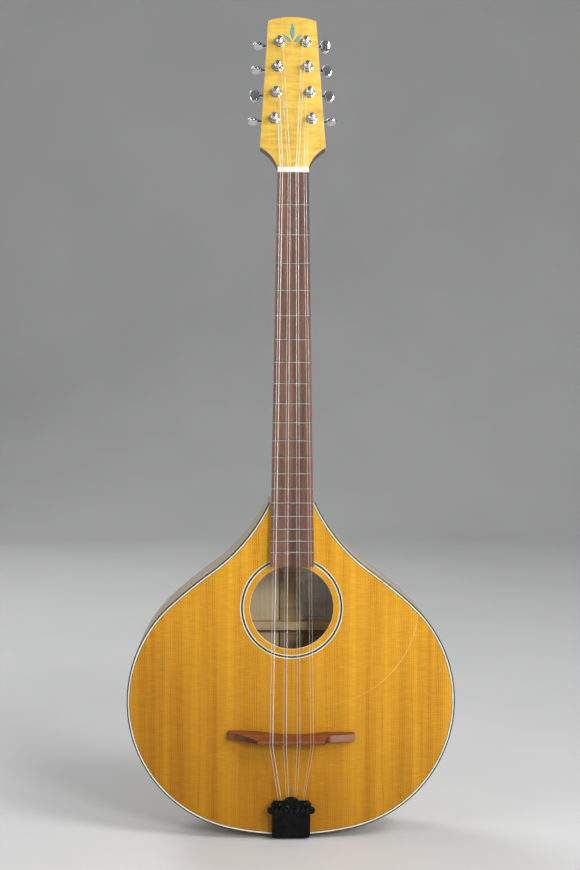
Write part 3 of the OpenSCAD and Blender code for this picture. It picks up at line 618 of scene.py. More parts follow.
foxing = ramp(tree, blobs(tree, place, (14, 14, 14), 3.0), 0.5, 0.75)
sheet = mixed(tree, foxing, (0.72, 0.69, 0.60), (0.60, 0.53, 0.40))
tree.links.new(mixed(tree, ink, sheet, (0.16, 0.13, 0.10)), shader.inputs["Base Color"])
tree.links.new(ramp(tree, fibre, 0.2, 0.8, 0.75, 0.95), shader.inputs["Roughness"])
relief(tree, shader, fibre, 0.03)
dress(paper, "label")

# ---- Neck ------------------------------------------------------------------------
# One piece of dark hardwood: a round-backed shaft that tapers to the nut, a hollowed
# heel glued to the body with a tenon, and a flat head that leans back behind the nut.

head_angle = math.radians(13)
nut_t = 6.0
nut_half, joint_half = 17.8, 23.95
neck_deep_nut, neck_deep_joint = 16.0, 20.0
joint_depth, heel_cap_t, heel_foot, heel_cap_w = 80.0, 3.0, 15.0, 27.0
heel_arc_r, heel_arc_c = 78.0, (39.0, 478.7)
heel_lip, heel_flare, heel_straight = 2.0, 6.0, 70.0
core_t, veneer_t = 12.5, 2.5
head_len, head_top_sag = 189.0, 5.4


def head_points(x, deep, up):
    """Points in the head's frame, as neck_points gives them for the neck: it starts
    behind the nut and leans back by head_angle more."""
    x, deep, up = np.broadcast_arrays(np.asarray(x, float), deep, up)
    return neck_points(x, deep * math.cos(head_angle) + up * math.sin(head_angle),
                       joint_s + nut_t - deep * math.sin(head_angle)
                       + up * math.cos(head_angle))


def chord_r(half, deep):
    """Radius of the arc over a chord: (half^2 + deep^2) / (2 deep)."""
    return (half * half + deep * deep) / (2 * deep)


def arc_to(p, q, radius, count):
    """Points on the short arc from p to q; a negative radius puts its centre on the
    right: c = middle + normal sqrt(r^2 - d^2 / 4)."""
    p, q = np.asarray(p, float), np.asarray(q, float)
    d = q - p
    side = 1 if radius > 0 else -1
    gap = math.sqrt(radius ** 2 - d @ d / 4)
    centre = (p + q) / 2 + side * gap * np.array([-d[1], d[0]]) / np.linalg.norm(d)
    start = math.atan2(p[1] - centre[1], p[0] - centre[0])
    sweep = side * 2 * math.asin(np.linalg.norm(d) / 2 / abs(radius))
    turn = start + sweep * np.linspace(0, 1, count + 1)[1:]
    return centre + abs(radius) * np.stack([np.cos(turn), np.sin(turn)], axis=1)


def neck_half(s):
    """Half the fingerboard's width at s up the neck from the joint."""
    return joint_half + (nut_half - joint_half) * s / joint_s


def neck_section(s, deep, squareness, front=0.0):
    """One cross-section: x = half (cos t)^(2/k), deep = front + (deep - front)
    (sin t)^(2/k) for t from edge to edge, narrowed evenly towards the heel cap."""
    t = np.linspace(0, math.pi, 49)
    rise = np.abs(np.sin(t)) ** (2 / squareness)
    across = np.sign(np.cos(t)) * np.abs(np.cos(t)) ** (2 / squareness)
    down = front + (deep - front) * rise
    taper = np.clip((down - heel_flare) / (joint_depth - heel_flare), 0, 1)
    half = neck_half(s) + (heel_cap_w / 2 - joint_half) * taper
    return half * across, down


# Along the neck: the flat foot of the heel, its rounded lip, the hollow arc that rises
# to the shaft, the shaft itself, and the end that dies into the back of the head.
lip = np.linspace(0, math.pi / 2, 7)
stations = [(s, joint_depth) for s in (0.0, 4.0, 8.0, 11.5)]
stations += [(heel_foot + heel_lip * (math.sin(a) - 1),
              joint_depth + heel_lip * (math.cos(a) - 1)) for a in lip]
rise_z = np.concatenate([[401.15, 401.4, 401.9, 402.8], np.linspace(404, 446, 30)])
rise_y = heel_arc_c[0] - np.sqrt(heel_arc_r ** 2 - (rise_z - heel_arc_c[1]) ** 2)
stations += [(z - body_len, y - top_y - (z - body_len) * math.tan(neck_angle))
             for z, y in zip(rise_z, rise_y)]
stations += [(s, 0.0) for s in np.concatenate([np.linspace(62, joint_s, 40),
                                              joint_s + np.linspace(2, 24, 12)])]
rows = []
for s, heel_deep in stations:
    shaft = neck_deep_joint + (neck_deep_nut - neck_deep_joint) * s / joint_s
    # The larger of heel and shaft, rounded where they meet: (a^n + b^n)^(1/n).
    deep = shaft * (1 + (max(heel_deep, 0.01) / shaft) ** 12) ** (1 / 12)
    square = 2.1 + 3.6 * min(max((deep - shaft) / 40, 0), 1)
    front = max(0.0, (s - joint_s - nut_t) * math.tan(head_angle))
    x, down = neck_section(s, deep, square, front)
    up = s + down * math.tan(neck_angle) * max(0.0, 1 - s / heel_straight)
    rows.append(neck_points(x, down, up))
cap_y = top_y + joint_depth - heel_cap_t
shaft_rows = np.stack(rows)
shaft_rows[..., 2] = np.maximum(shaft_rows[..., 2], body_len)
foot_rows = shaft_rows[shaft_rows[:, 24, 1] > cap_y + 0.05]
shaft_rows[..., 1] = np.minimum(shaft_rows[..., 1], cap_y)

# The head's outline: nut corner, hollow shoulder, straight taper, bowed top edge.
shoulder, corner = (38.1, 25.0), (28.0, head_len - head_top_sag)
bow_half, bow_at, bow_sag = 27.5, 183.9, 5.1
side = np.concatenate([[(nut_half, 0.0)], arc_to((nut_half, 0), shoulder, -42, 18)[:-1],
                       [(37.4, 24.4), (37.75, 25.4), (37.7, 27.0)],
                       np.linspace((37.6, 28.5), (28.25, 182.4), 20),
                       [(28.1, 183.3), (bow_half, bow_at)]])
bow = arc_to((bow_half, bow_at), (-bow_half, bow_at), chord_r(bow_half, bow_sag), 32)[:-1]
head_edge = np.concatenate([side, bow, side[::-1] * (-1, 1)])


def inward(edge, amount):
    """A closed outline moved in by amount along the mean normal of its two edges."""
    ahead, behind = np.roll(edge, -1, axis=0) - edge, edge - np.roll(edge, 1, axis=0)
    way = (ahead / np.linalg.norm(ahead, axis=1, keepdims=True)
           + behind / np.linalg.norm(behind, axis=1, keepdims=True))
    way /= np.linalg.norm(way, axis=1, keepdims=True)
    return edge + amount * np.stack([-way[:, 1], way[:, 0]], axis=1)


def head_plate(levels):
    """A plate of the head's outline: each (inset, deep) level is one ring of it."""
    rows = [inward(head_edge, inset) for inset, _ in levels]
    return np.stack([head_points(edge[:, 0], deep, edge[:, 1])
                     for edge, (_, deep) in zip(rows, levels)])


neck_wood = wood("neck_wood", (0.15, 0.068, 0.032), (0.055, 0.024, 0.013), ring=4.5,
                 rings=0.3, streaks=0.8, pores=0.7, rough=0.34, coat=0.3)
core = head_plate([(0.15, 0.0), (0.0, 0.2), (0.0, core_t - 1.2), (0.35, core_t - 0.35),
                   (1.2, core_t)])
neck = shells("neck_and_head", [(shaft_rows, False, True, True), (core, False, True, True)],
              neck_wood)
finish_piece(neck, "neck_wood", "neck")

# ---- Heel cap --------------------------------------------------------------------
# A rosewood plate 3 mm thick over the foot of the heel, level with the back.

cap_wood = wood("cap_wood", (0.16, 0.075, 0.045), (0.06, 0.028, 0.02), ring=3.0,
                pores=0.8, rough=0.36, coat=0.2)
# The heel's own sections, cut off where they come out of the plane under the plate.
cap_rows = []
for row in foot_rows:
    half, z = (np.interp(cap_y, row[:25, 1], row[:25, k]) for k in (0, 2))
    foot = np.stack([np.clip(row[:, 0], -half, half), 0 * row[:, 1] + cap_y,
                     0 * row[:, 2] + z], axis=1)
    cap_rows.append(np.where(row[:, 1:2] > cap_y, row, foot))
cap = shells("heel_cap_plate", [(np.stack(cap_rows), False, True, True)], cap_wood)
finish_piece(cap, "rosewood", "heel_cap")

# ---- Head veneer -----------------------------------------------------------------
# A face of flamed maple 2.5 mm thick glued to the head, golden under a gloss lacquer,
# with its edges just broken.

maple = wood("flamed_maple", (0.68, 0.46, 0.085), (0.50, 0.28, 0.035), ring=3.4, rings=0.16,
             streaks=0.45, figure=1.6, rough=0.36, coat=0.15, bump=0.008)
veneer = shells("head_face", [(head_plate([(0.5, -veneer_t), (0.15, -veneer_t + 0.12),
                (0.0, -veneer_t + 0.5), (0.0, -0.02)]), False, True, True)], maple)
finish_piece(veneer, "flamed_maple", "head_veneer")

# ---- Head inlay ------------------------------------------------------------------
# A sprig of three leaves cut from shell, let into the veneer and polished, each leaf
# very slightly domed.

shell, tree, shader = new_material("abalone")
place = place_mm(tree)
sheen = blobs(tree, place, (3.2, 3.2, 1.6), 3.0, 1.4)
colour = mixed(tree, ramp(tree, sheen, 0.36, 0.5), (0.02, 0.16, 0.14), (0.14, 0.36, 0.26))
colour = mixed(tree, ramp(tree, sheen, 0.52, 0.64), colour, (0.34, 0.20, 0.38))
tree.links.new(colour, shader.inputs["Base Color"])
tree.links.new(ramp(tree, sheen, 0.3, 0.7, 0.12, 0.26), shader.inputs["Roughness"])
shader.inputs["Coat Weight"].default_value = 0.6
relief(tree, shader, sheen, 0.02)


def leaf(length, width, turn_degrees, start):
    """A pointed leaf: half width = (width / 2) (1 - (2 t - 1)^2) at t along its length,
    domed by 0.1 mm in the middle."""
    t, across = np.meshgrid(np.linspace(0, 1, 25), np.linspace(-1, 1, 13), indexing="ij")
    wide = (1 - (2 * t - 1) ** 2) * width / 2
    a = math.radians(turn_degrees)
    x, up = wide * across, length * t
    dome = 0.1 * (1 - across ** 2) * (1 - (2 * t - 1) ** 4)
    front = head_points(start[0] + x * math.cos(a) - up * math.sin(a),
                        -veneer_t - 0.02 - dome,
                        start[1] + x * math.sin(a) + up * math.cos(a))
    back = front + (head_points(0, 0.8, 0) - head_points(0, 0, 0))
    return (np.concatenate([front, back[:, ::-1]], axis=1), False, True, True)


sprig = shells("leaf_sprig", [leaf(22, 5.6, 0, (0, 159)), leaf(14, 4.2, 42, (-1.6, 156)),
               leaf(14, 4.2, -42, (1.6, 156))], shell)
finish_piece(sprig, "abalone", "head_inlay")

# ---- Fingerboard and its wedge ---------------------------------------------------
# A flat board of oiled rosewood glued to the neck, with a wedge of the same wood under
# its end on the body.

board_wood = wood("fingerboard_wood", (0.20, 0.095, 0.060), (0.060, 0.028, 0.020), ring=5.0,
                  rings=0.35, streaks=1.1, pores=0.85, rough=0.42, bump=0.04)
dress(board_wood, "fingerboard", "board_wedge")


def break_edges(name, width):
    """Rounds the corners of a CAD node that is shown as it is."""
    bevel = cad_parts[name].modifiers.new("broken_edge", "BEVEL")
    bevel.width = width * MM
    bevel.segments = 2
    bevel.limit_method = "ANGLE"
    bevel.angle_limit = math.radians(50)


break_edges("fingerboard", 0.25)
break_edges("board_wedge", 0.25)

# ---- Frets -----------------------------------------------------------------------
# Nineteen lengths of nickel silver wire pressed into slots, with a round crown and
# ends filed to a slope.

crown_r = 1.2
fret_metal, tree, shader = new_material("nickel_silver")
place = place_mm(tree)
polish = blobs(tree, place, (9, 0.15, 0.15), 3.0)
tarnish = ramp(tree, blobs(tree, place, (11, 11, 11), 3.0), 0.4, 0.75)
shader.inputs["Metallic"].default_value = 1.0
tree.links.new(mixed(tree, tarnish, (0.60, 0.58, 0.53), (0.46, 0.43, 0.36)),
               shader.inputs["Base Color"])
tree.links.new(ramp(tree, polish, 0.2, 0.8, 0.12, 0.28), shader.inputs["Roughness"])
relief(tree, shader, polish, 0.004)


def fret(n):
    """A fret's crown: a half round of radius crown_r whose height falls by 1.6 mm for
    each millimetre near its ends, which stop 0.15 mm inside the board's edges."""
    half = neck_half(joint_s - fret_s(n)) - 0.15
    end = half - np.array([0, 0.25, 0.5, 0.75])
    x = np.concatenate([-end, np.linspace(1.2 - half, half - 1.2, 9), end[::-1]])
    a = np.linspace(0, math.pi, 15)
    reach = np.clip((half - np.abs(x)) * 1.6 / crown_r + 0.12, 0, 1)[:, None]
    up = joint_s - fret_s(n) + crown_r * np.cos(a) * np.minimum(1, reach + 0.6)
    deep = -board_t - crown_r * np.sin(a) * reach + 0.02
    return (neck_points(x[:, None], deep, up), False, True, True)


frets = shells("fret_wires", [fret(n) for n in range(1, 20)], fret_metal)
finish_piece(frets, "fret_metal", "frets")

# ---- Nut and side dots -----------------------------------------------------------
# The nut is a block of polished bone glued at the end of the fingerboard, with eight
# round slots. Bone dots along the bass edge of the board mark the frets.

nut_h, nut_corner = 8.0, 0.6
nut_spread = (29.4, 2.5)
string_r = (0.23, 0.53, 0.16, 0.36, 0.21, 0.21, 0.15, 0.15)


def string_x(i, spread, gap):
    """Where string i crosses: four even courses over spread, two strings gap apart."""
    inner = (spread - gap) / 2
    return -inner + i // 2 * inner * 2 / 3 + (-gap / 2 if i % 2 == 0 else gap / 2)


def with_grooves(x, places, radii, height):
    """Height of a top edge cut by round slots: height - sqrt(r^2 - (x - place)^2)."""
    cut = np.zeros_like(x)
    for place, r in zip(places, radii):
        cut = np.maximum(cut, np.sqrt(np.maximum(r * r - (x - place) ** 2, 0)))
    return height - cut


def groove_stations(ends, step, places, radii):
    """Even stations from end to end, with finer ones across each slot."""
    fine = [p + r * np.array([-1.01, -0.97, -0.8, -0.5, 0, 0.5, 0.8, 0.97, 1.01])
            for p, r in zip(places, radii)]
    return np.unique(np.concatenate([np.arange(*ends, step), [ends[1]], *fine]))


bone = solid("polished_bone", (0.86, 0.83, 0.72), (0.76, 0.71, 0.57), 0.26, 0.3,
             (0.5, 0.5, 4.0))
places = [string_x(i, *nut_spread) for i in range(8)]
radii = [r + 0.04 for r in string_r]
x = groove_stations((-nut_half, nut_half), 0.4, places, radii)
end = np.clip(nut_corner - (nut_half - np.abs(x)), 0, nut_corner)
top = with_grooves(x, places, radii, nut_h + np.sqrt(nut_corner ** 2 - end ** 2)) - nut_corner
round_off = ((0, 0), (0, 1.0), (0.1, 0.55), (0.35, 0.22), (0.8, 0.0))
section = ([(0.0, None)] + [(u, drop) for u, drop in round_off[1:]]
           + [(nut_t - u, drop) for u, drop in round_off[:0:-1]] + [(nut_t, None)])
points = np.stack([neck_points(x, 0 * x if drop is None else -(top - drop), joint_s + u)
                   for u, drop in section], axis=1)
nut = shells("string_nut", [(points, False, True, True)], bone)
finish_piece(nut, "bone", "nut")
dress(bone, "side_dots")

# ---- Truss rod -------------------------------------------------------------------
# A plain steel bar buried in the neck under the fingerboard; nothing of it shows.


def metal(name, colour, shade, rough, metallic=1.0, scratch=(14, 0.3, 0.3), smudge=0.16,
          source="object"):
    """Plated, drawn or painted metal: fine scratches along one way, soft smudges that
    dull the shine, and a faint change of colour under them."""
    made, tree, shader = new_material(name)
    place = place_mm(tree, source)
    marks = blobs(tree, place, scratch, 3.0)
    smear = ramp(tree, blobs(tree, place, (8, 8, 8), 4.0), 0.35, 0.75)
    tree.links.new(mixed(tree, smear, colour, shade), shader.inputs["Base Color"])
    gloss = calc(tree, "MULTIPLY_ADD", smear, smudge, rough)
    gloss = calc(tree, "MULTIPLY_ADD", ramp(tree, marks, 0.62, 0.75), 0.12, gloss)
    tree.links.new(gloss, shader.inputs["Roughness"])
    shader.inputs["Metallic"].default_value = metallic
    relief(tree, shader, marks, 0.003)
    return made


rod_steel = metal("rod_steel", (0.42, 0.42, 0.43), (0.30, 0.29, 0.28), 0.4)
dress(rod_steel, "truss_rod")

# ---- Strap button ----------------------------------------------------------------
# A turned and polished button on the treble side of the heel, held by its own screw.

pearl = solid("button_pearl", (0.80, 0.78, 0.74), (0.66, 0.64, 0.62), 0.2, 0.5)
profile = [(7.0, 0), (7.0, 4.6), (7.4, 5.0), (8.0, 4.2), (8.6, 3.7), (8.9, 4.4), (8.95, 6.0),
           (9.3, 6.4), (9.8, 6.5), (10.3, 6.3), (10.6, 5.8), (10.75, 5.0), (10.8, 2.6),
           (10.5, 2.2), (10.4, 0)]
screw = [(-10, 0), (-9, 1.6), (7.2, 1.6), (7.2, 0)]
knob_at = (14, -12, 411)
button = shells("strap_knob", [(turned(p, 0, 64) + knob_at, False, True, False)
                for p in (profile, screw)], pearl)
finish_piece(button, "pearl_button", "strap_button")

# ---- Bridge ----------------------------------------------------------------------
# A floating bridge carved from rosewood: a thin crown that carries the strings, hollow
# scoops down to two long flat wings, and an arch under the middle. String tension alone
# holds it on the soundboard.

string_rise = 11.4
string_h = string_rise * math.cos(neck_angle) + (scale_len - joint_s) * math.sin(neck_angle)
bridge_z = (body_len + string_rise * math.sin(neck_angle)
            - (scale_len - joint_s) * math.cos(neck_angle))
bridge_half, foot_t, crown_t, foot_edge_h = 73.0, 10.0, 3.2, 3.4
crown_x, wing_x, wing_h, wing_end_h = (-38.5, 37.5), (-66.0, 43.5), (7.2, 10.5), 6.5
bass_scoop_r, treble_scoop_r, corner_r = 90.0, 22.0, 1.5
arch_half, arch_rise, waist_half, waist_in = 26.0, 1.6, 40.0, 3.0
askew = 0.017
bridge_spread = (49.6, 3.2)


def scoop(x, p, q, radius):
    """Height of a hollow arc from p to q at x: centre height - sqrt(r^2 - dx^2)."""
    p, q = np.array(p), np.array(q)
    d = q - p
    gap = math.sqrt(radius ** 2 - d @ d / 4)
    centre = (p + q) / 2 + gap * np.array([abs(d[1]) * np.sign(p[0]), abs(d[0])]) / \
        np.linalg.norm(d)
    return centre[1] - np.sqrt(np.maximum(radius ** 2 - (x - centre[0]) ** 2, 0))


def bow_over(x, half, sag):
    """Height of a shallow arc over a chord from -half to half, 0 outside it."""
    r = chord_r(half, sag)
    return np.where(np.abs(x) < half, np.sqrt(np.maximum(r * r - x * x, 0)) - (r - sag), 0)


places = [string_x(i, *bridge_spread) for i in range(8)]
radii = [r + 0.2 for r in string_r]
x = groove_stations((-bridge_half, bridge_half), 0.5, places, radii)
x = np.unique(np.concatenate([x, crown_x, wing_x, [-72.8, -72.4, 72.4, 72.8]]))
height = np.select(
    [x < wing_x[0], x < crown_x[0], x <= crown_x[1], x < wing_x[1]],
    [np.interp(x, (-bridge_half, wing_x[0]), (wing_end_h, wing_h[0])),
     scoop(x, (wing_x[0], wing_h[0]), (crown_x[0], string_h), bass_scoop_r),
     with_grooves(x, places, radii, string_h),
     scoop(x, (wing_x[1], wing_h[1]), (crown_x[1], string_h), treble_scoop_r)],
    np.interp(x, (wing_x[1], bridge_half), (wing_h[1], wing_end_h)))
end = np.clip(corner_r - (bridge_half - np.abs(x)), 0, corner_r)
end = corner_r - np.sqrt(corner_r ** 2 - end ** 2)
height = height - end
under = bow_over(x, arch_half, arch_rise) + 0.4 * end
waist = foot_t - bow_over(x, waist_half, waist_in)


def bridge_front_z(y):
    """How far the bridge's front face stands forward at height y, rounded ends apart."""
    slope = foot_t + (crown_t - foot_t) * (y - foot_edge_h) / (string_h - foot_edge_h)
    return np.minimum(np.where(y < foot_edge_h, foot_t, slope), waist) - end


levels = [under, under + 0.25] + [under + (height - 0.5 - under) * t
                                  for t in (0.12, 0.2, 0.35, 0.5, 0.65, 0.8, 0.92, 1)]
columns = [(levels[0], bridge_front_z(levels[0]) - 0.25)]
columns += [(y, bridge_front_z(y)) for y in levels[1:]]
columns += [(height - 0.15, bridge_front_z(height) - 0.12),
            (height, bridge_front_z(height) - 0.5), (height, 0.5 + end),
            (height - 0.15, 0.15 + end), (height - 0.5, end), (under + 0.25, end),
            (under, 0.25 + end)]
bridge_back = bridge_z - crown_t / 2
# It has crept a degree askew, its treble end towards the tail: z falls by askew x.
points = np.stack([np.stack([x, top_y - y - 0.02, bridge_back + z - askew * x], axis=1)
                   for y, z in columns], axis=1)
bridge_wood = wood("bridge_wood", (0.27, 0.085, 0.024), (0.09, 0.026, 0.009), along=0,
                   ring=4.0, rings=0.35, streaks=0.9, pores=0.85, rough=0.44, shine=0.25,
                   bump=0.035)
# The two hollows are painted dark as shade, most where they are steep, and the treble wing is
# painted pale as a highlight: the first and second stored numbers of the points on top.
stored = np.zeros(points.shape)
on_top = slice(len(levels), len(levels) + 4)
stored[:, on_top, 0] = np.interp(
    x, (-73, -66, -45, -39.5, -38.5, 37.5, 38, 42, 45.5),
    (0.45, 0.6, 0.9, 1.0, 0.0, 0.0, 1.0, 0.8, 0.0))[:, None]
stored[:, on_top, 1] = np.interp(x, (43, 47, 73), (0.0, 1.0, 0.8))[:, None]
tree = bridge_wood.node_tree
shader = tree.nodes["Principled BSDF"]
split = node(tree, "ShaderNodeSeparateXYZ", {0: place_mm(tree, "grain")})
base = shader.inputs["Base Color"].links[0].from_socket
# Painted shade: the hollows are darkened by the first stored number.
base = mixed(tree, calc(tree, "MULTIPLY", split.outputs[0], 0.85), base,
             (0.028, 0.011, 0.006))
# Painted highlight: the treble wing is made paler by the second stored number.
tree.links.new(mixed(tree, calc(tree, "MULTIPLY", split.outputs[1], 0.5), base,
                     (0.34, 0.22, 0.16)), shader.inputs["Base Color"])
bridge = shells("floating_bridge", [(points, False, True, True)], bridge_wood, 28,
                stored.reshape(-1, 3))
finish_piece(bridge, "bridge_rosewood", "bridge", body="bridge")

# ---- Tailpiece base and screws ---------------------------------------------------
# A black lacquered plate bent over the tail, with eight hooks for the string loops,
# held to the tail block by three plated screws with cross recesses.

black_metal = metal("black_lacquered_plate", (0.003, 0.003, 0.003), (0.007, 0.007, 0.007),
                    0.13, metallic=0.0, scratch=(20, 0.5, 0.5), smudge=0.1)
shader = black_metal.node_tree.nodes["Principled BSDF"]
shader.inputs["Specular IOR Level"].default_value = 0.1
dress(black_metal, "tailpiece_base")
break_edges("tailpiece_base", 0.3)

chrome = metal("chrome_plate", (0.80, 0.80, 0.82), (0.66, 0.66, 0.68), 0.06, smudge=0.12)


def screw_head(radius, tall):
    """A domed head: rings of radius sin a at height tall (cos a)^0.6. Its cross recess
    is tall / 2 deep, where a point is near one of two lines and not far out."""
    a = np.concatenate([np.linspace(0.02, 1.2, 16), [1.35, 1.5, math.pi / 2]])
    turn = np.linspace(0, 2 * math.pi, 64, endpoint=False)
    across, up = radius * np.sin(a)[:, None], tall * np.cos(a)[:, None] ** 0.6
    p, q = across * np.cos(turn), across * np.sin(turn)
    slot = (np.minimum(np.abs(p), np.abs(q)) < radius * 0.13) & \
        (np.maximum(np.abs(p), np.abs(q)) < radius * 0.55)
    up = np.broadcast_to(up, p.shape) - 0.5 * tall * slot
    base = np.stack([p[-1:], q[-1:], 0 * p[-1:] - 0.3], axis=-1)
    return np.concatenate([np.stack([p, q, up], axis=-1), base])


# The heads lie under the tail, and the shanks run up through the plate into the block.
parts = []
for px, py in ((0, -27), (-13, -38), (13, -38)):
    head = screw_head(3.2, 1.8) * (1, 1, -1) + (px, py, -1.4)
    shank = turned([(-1.5, 1.6), (14, 1.6), (16.6, 0)], 2, 32) + (px, py, 0)
    parts += [(head, False, True, True), (shank, False, True, False)]
screws = shells("tail_screws", parts, chrome)
finish_piece(screws, "chrome", "tailpiece_screws")

# ---- Tailpiece cover -------------------------------------------------------------
# A black lacquered sheet pressed with a raised rim, a palmette between two scrolls and a
# row of bosses, on two folded flanges. It slides off the base to reach the hooks.

cover_low, cover_z, cover_len, cover_t = 5.6, 2.0, 48.0, 1.0
cover_high, cover_lift, flange_x = 13.4, 1.2, 20.9
cover_slope = math.atan((cover_high - cover_low) / cover_len)
fan_z, boss_z, bead_z = 33.5, 30.2, 26.2
edge = np.concatenate([
    [(22.0, 0.0)], np.linspace((22.0, 2.0), (22.0, 26.6), 14),
    arc_to((22, 26.6), (27.5, 31.6), 5, 8), arc_to((27.5, 31.6), (23, 35.4), 3.6, 10),
    [(23.0, 37.0), (23.0, 38.6)], arc_to((23, 38.6), (18, 43.2), 5.5, 9),
    np.linspace((17.0, 43.22), (9.0, 43.3), 5), arc_to((9, 43.3), (0, 48.2), 10.6, 16)])
edge = edge[np.concatenate([[True], np.diff(edge[:, 1]) > 1e-3])]
v = np.unique(np.concatenate([np.linspace(0, 48.1, 130), edge[:, 1]]))
half = np.interp(v, edge[:, 1], edge[:, 0])
u = np.sin(np.linspace(-math.pi / 2, math.pi / 2, 121)) * 0.35 + \
    np.linspace(-1, 1, 121) * 0.65
px, pz = u * half[:, None], np.broadcast_to(v[:, None], (len(v), len(u)))
whole_edge = np.concatenate([edge, edge[::-1] * (-1, 1)])


def nearest(px, pz, line):
    """Distance from each point of a grid to the nearest point of a line."""
    reach = (px[..., None] - line[:, 0]) ** 2 + (pz[..., None] - line[:, 1]) ** 2
    return np.sqrt(reach.min(axis=-1))


def ridge(distance, wide, tall):
    """A rounded ridge: tall exp(-(distance / wide)^2)."""
    return tall * np.exp(-(distance / wide) ** 2)


dense = np.concatenate([np.linspace(a, b, 12)[:-1]
                        for a, b in zip(whole_edge[:-1], whole_edge[1:])])
rim_gap = nearest(px, pz, dense)
pressed = ridge(rim_gap - 1.5, 0.7, 0.45) - ridge(rim_gap, 0.7, 0.5)
t = np.linspace(0, 1, 160)
for side in (-1, 1):
    # A scroll is a spiral of 2 1/4 turns that opens from 0.6 to 4.4 mm.
    turn = side * (t * 4.5 * math.pi - 0.6)
    spiral = np.stack([side * 14.6 + (0.6 + 3.8 * t) * np.cos(turn + (side < 0) * math.pi),
                       36.6 + (0.6 + 3.8 * t) * np.sin(turn + (side < 0) * math.pi)], axis=1)
    pressed = pressed + ridge(nearest(px, pz, spiral), 0.6, 1.2)
    for bx, bz, size in ((22.8, 32.0, 1.8), (20.3, 39.4, 1.0), (7.6, 32.2, 1.1)):
        pressed = pressed + ridge(np.hypot(px - side * bx, pz - bz), size, 1.2)
for degrees in (-64, -32, 0, 32, 64):
    a = math.radians(degrees)
    long = 12.5 - 0.055 * abs(degrees)
    along = px * math.sin(a) + (pz - fan_z) * math.cos(a)
    aside = px * math.cos(a) - (pz - fan_z) * math.sin(a)
    swell = np.exp(-((along - long / 2) / (long / 2.3)) ** 4)
    pressed = np.maximum(pressed, swell * ridge(aside, 1.0 + 0.09 * along.clip(0, 12), 1.5))
pressed = np.maximum(pressed, ridge(np.abs(pz - bead_z), 0.5, 0.4) * (rim_gap > 2.2))
for bx in np.linspace(-18.6, 18.6, 7):
    pressed = np.maximum(pressed, ridge(np.hypot(px - bx, pz - boss_z), 1.7, 1.5))


def cover_points(x, y, z):
    """Points in the sloping frame of the cover's sheet, carried to the row frame."""
    x, y, z = np.broadcast_arrays(np.asarray(x, float), y, z)
    return np.stack([x, top_y - cover_low + y * math.cos(cover_slope)
                     - z * math.sin(cover_slope),
                     cover_z + y * math.sin(cover_slope) + z * math.cos(cover_slope)],
                    axis=-1)


face = cover_points(px, -cover_t - pressed, pz)
back = cover_points(px, -0.45 * pressed.clip(0, 1), pz)[:, ::-1]
parts = [(np.concatenate([face, back], axis=1), False, True, True)]
for side in (-1, 1):
    z = np.array([[0.8], [1.2], [25.4], [26.0]])
    clear = cover_low - cover_lift + z * math.sin(cover_slope) \
        - np.array([[0.5], [0], [0], [0.6]])
    inner, outer = side * flange_x, side * (flange_x + cover_t)
    corners = [(inner, -0.5), (outer, -0.5), (outer, clear), (inner, clear)]
    flange = np.stack([cover_points(cx, cy, z)[:, 0] for cx, cy in corners], axis=1)
    parts.append((flange, False, True, True))
cover = shells("tailpiece_shell", parts, black_metal, 40)
finish_piece(cover, "black_metal", "tailpiece_cover", body="tailpiece_cover")

# ---- Strings ---------------------------------------------------------------------
# Eight steel strings in four courses. Each has a loop with a twisted end on its hook,
# and runs over bridge and nut to its post. The second and fourth are wound.

tuner_v = (59.5, 92.0, 124.5, 155.8, 155.8, 124.5, 92.0, 59.5)
tuner_side = (-1, -1, -1, -1, 1, 1, 1, 1)
edge_x = np.interp(tuner_v, (shoulder[1], corner[1]), (shoulder[0], corner[0]))
post_in = 14.4
tuner_x = np.array(tuner_side) * (edge_x - post_in)
coil_at = -veneer_t - 6.3
hook_z, hook_r, hook_up = (20.0, 26.0), 0.8, 4.8
tail_spread, level_half = (25.0, 2.3), 3.6
drum_r = 3.55
plain_steel = metal("plain_wire", (0.86, 0.86, 0.85), (0.70, 0.69, 0.67), 0.3,
                    source="grain", scratch=(0.4, 0.4, 20))
wound_steel, tree, shader = new_material("wound_wire")
place = place_mm(tree, "grain")
pitch = node(tree, "ShaderNodeSeparateXYZ", {0: place}).outputs[2]
turns = calc(tree, "SINE", calc(tree, "MULTIPLY", pitch, 2 * math.pi / 0.24))
turns = calc(tree, "MULTIPLY_ADD", turns, 0.5, 0.5)
grime = ramp(tree, blobs(tree, place, (6, 6, 30), 3.0), 0.35, 0.75)
# Painted shade: the colour is dark in the grooves between the turns, where the bump is low,
# and pale on their crowns.
colour = mixed(tree, turns, (0.42, 0.40, 0.37), (0.88, 0.87, 0.84))
tree.links.new(mixed(tree, calc(tree, "MULTIPLY", grime, 0.35), colour,
                     (0.50, 0.46, 0.38)), shader.inputs["Base Color"])
tree.links.new(ramp(tree, grime, 0.0, 1.0, 0.34, 0.5), shader.inputs["Roughness"])
shader.inputs["Metallic"].default_value = 0.75
relief(tree, shader, turns, 0.05)


def tube(path, radius, sides=10):
    """A round tube along a path: rings radius (a cos t + b sin t), where a is square to
    the way on and to Y, and b to both. Returns its grid and its grain grid."""
    path = np.asarray(path, float)
    way = np.gradient(path, axis=0)
    way /= np.linalg.norm(way, axis=1, keepdims=True)
    a = np.cross((0, 1, 0), way)
    a /= np.linalg.norm(a, axis=1, keepdims=True)
    b = np.cross(way, a)
    t = np.linspace(0, 2 * math.pi, sides, endpoint=False)[None, :, None]
    points = path[:, None] + radius * (a[:, None] * np.cos(t) + b[:, None] * np.sin(t))
    steps = np.linalg.norm(np.diff(path, axis=0), axis=1)
    along = np.broadcast_to(np.concatenate([[0], np.cumsum(steps)])[:, None],
                            points.shape[:2])
    around = np.broadcast_to(radius * t[..., 0], points.shape[:2])
    return points, np.stack([around, 0 * around + radius, along], axis=-1)


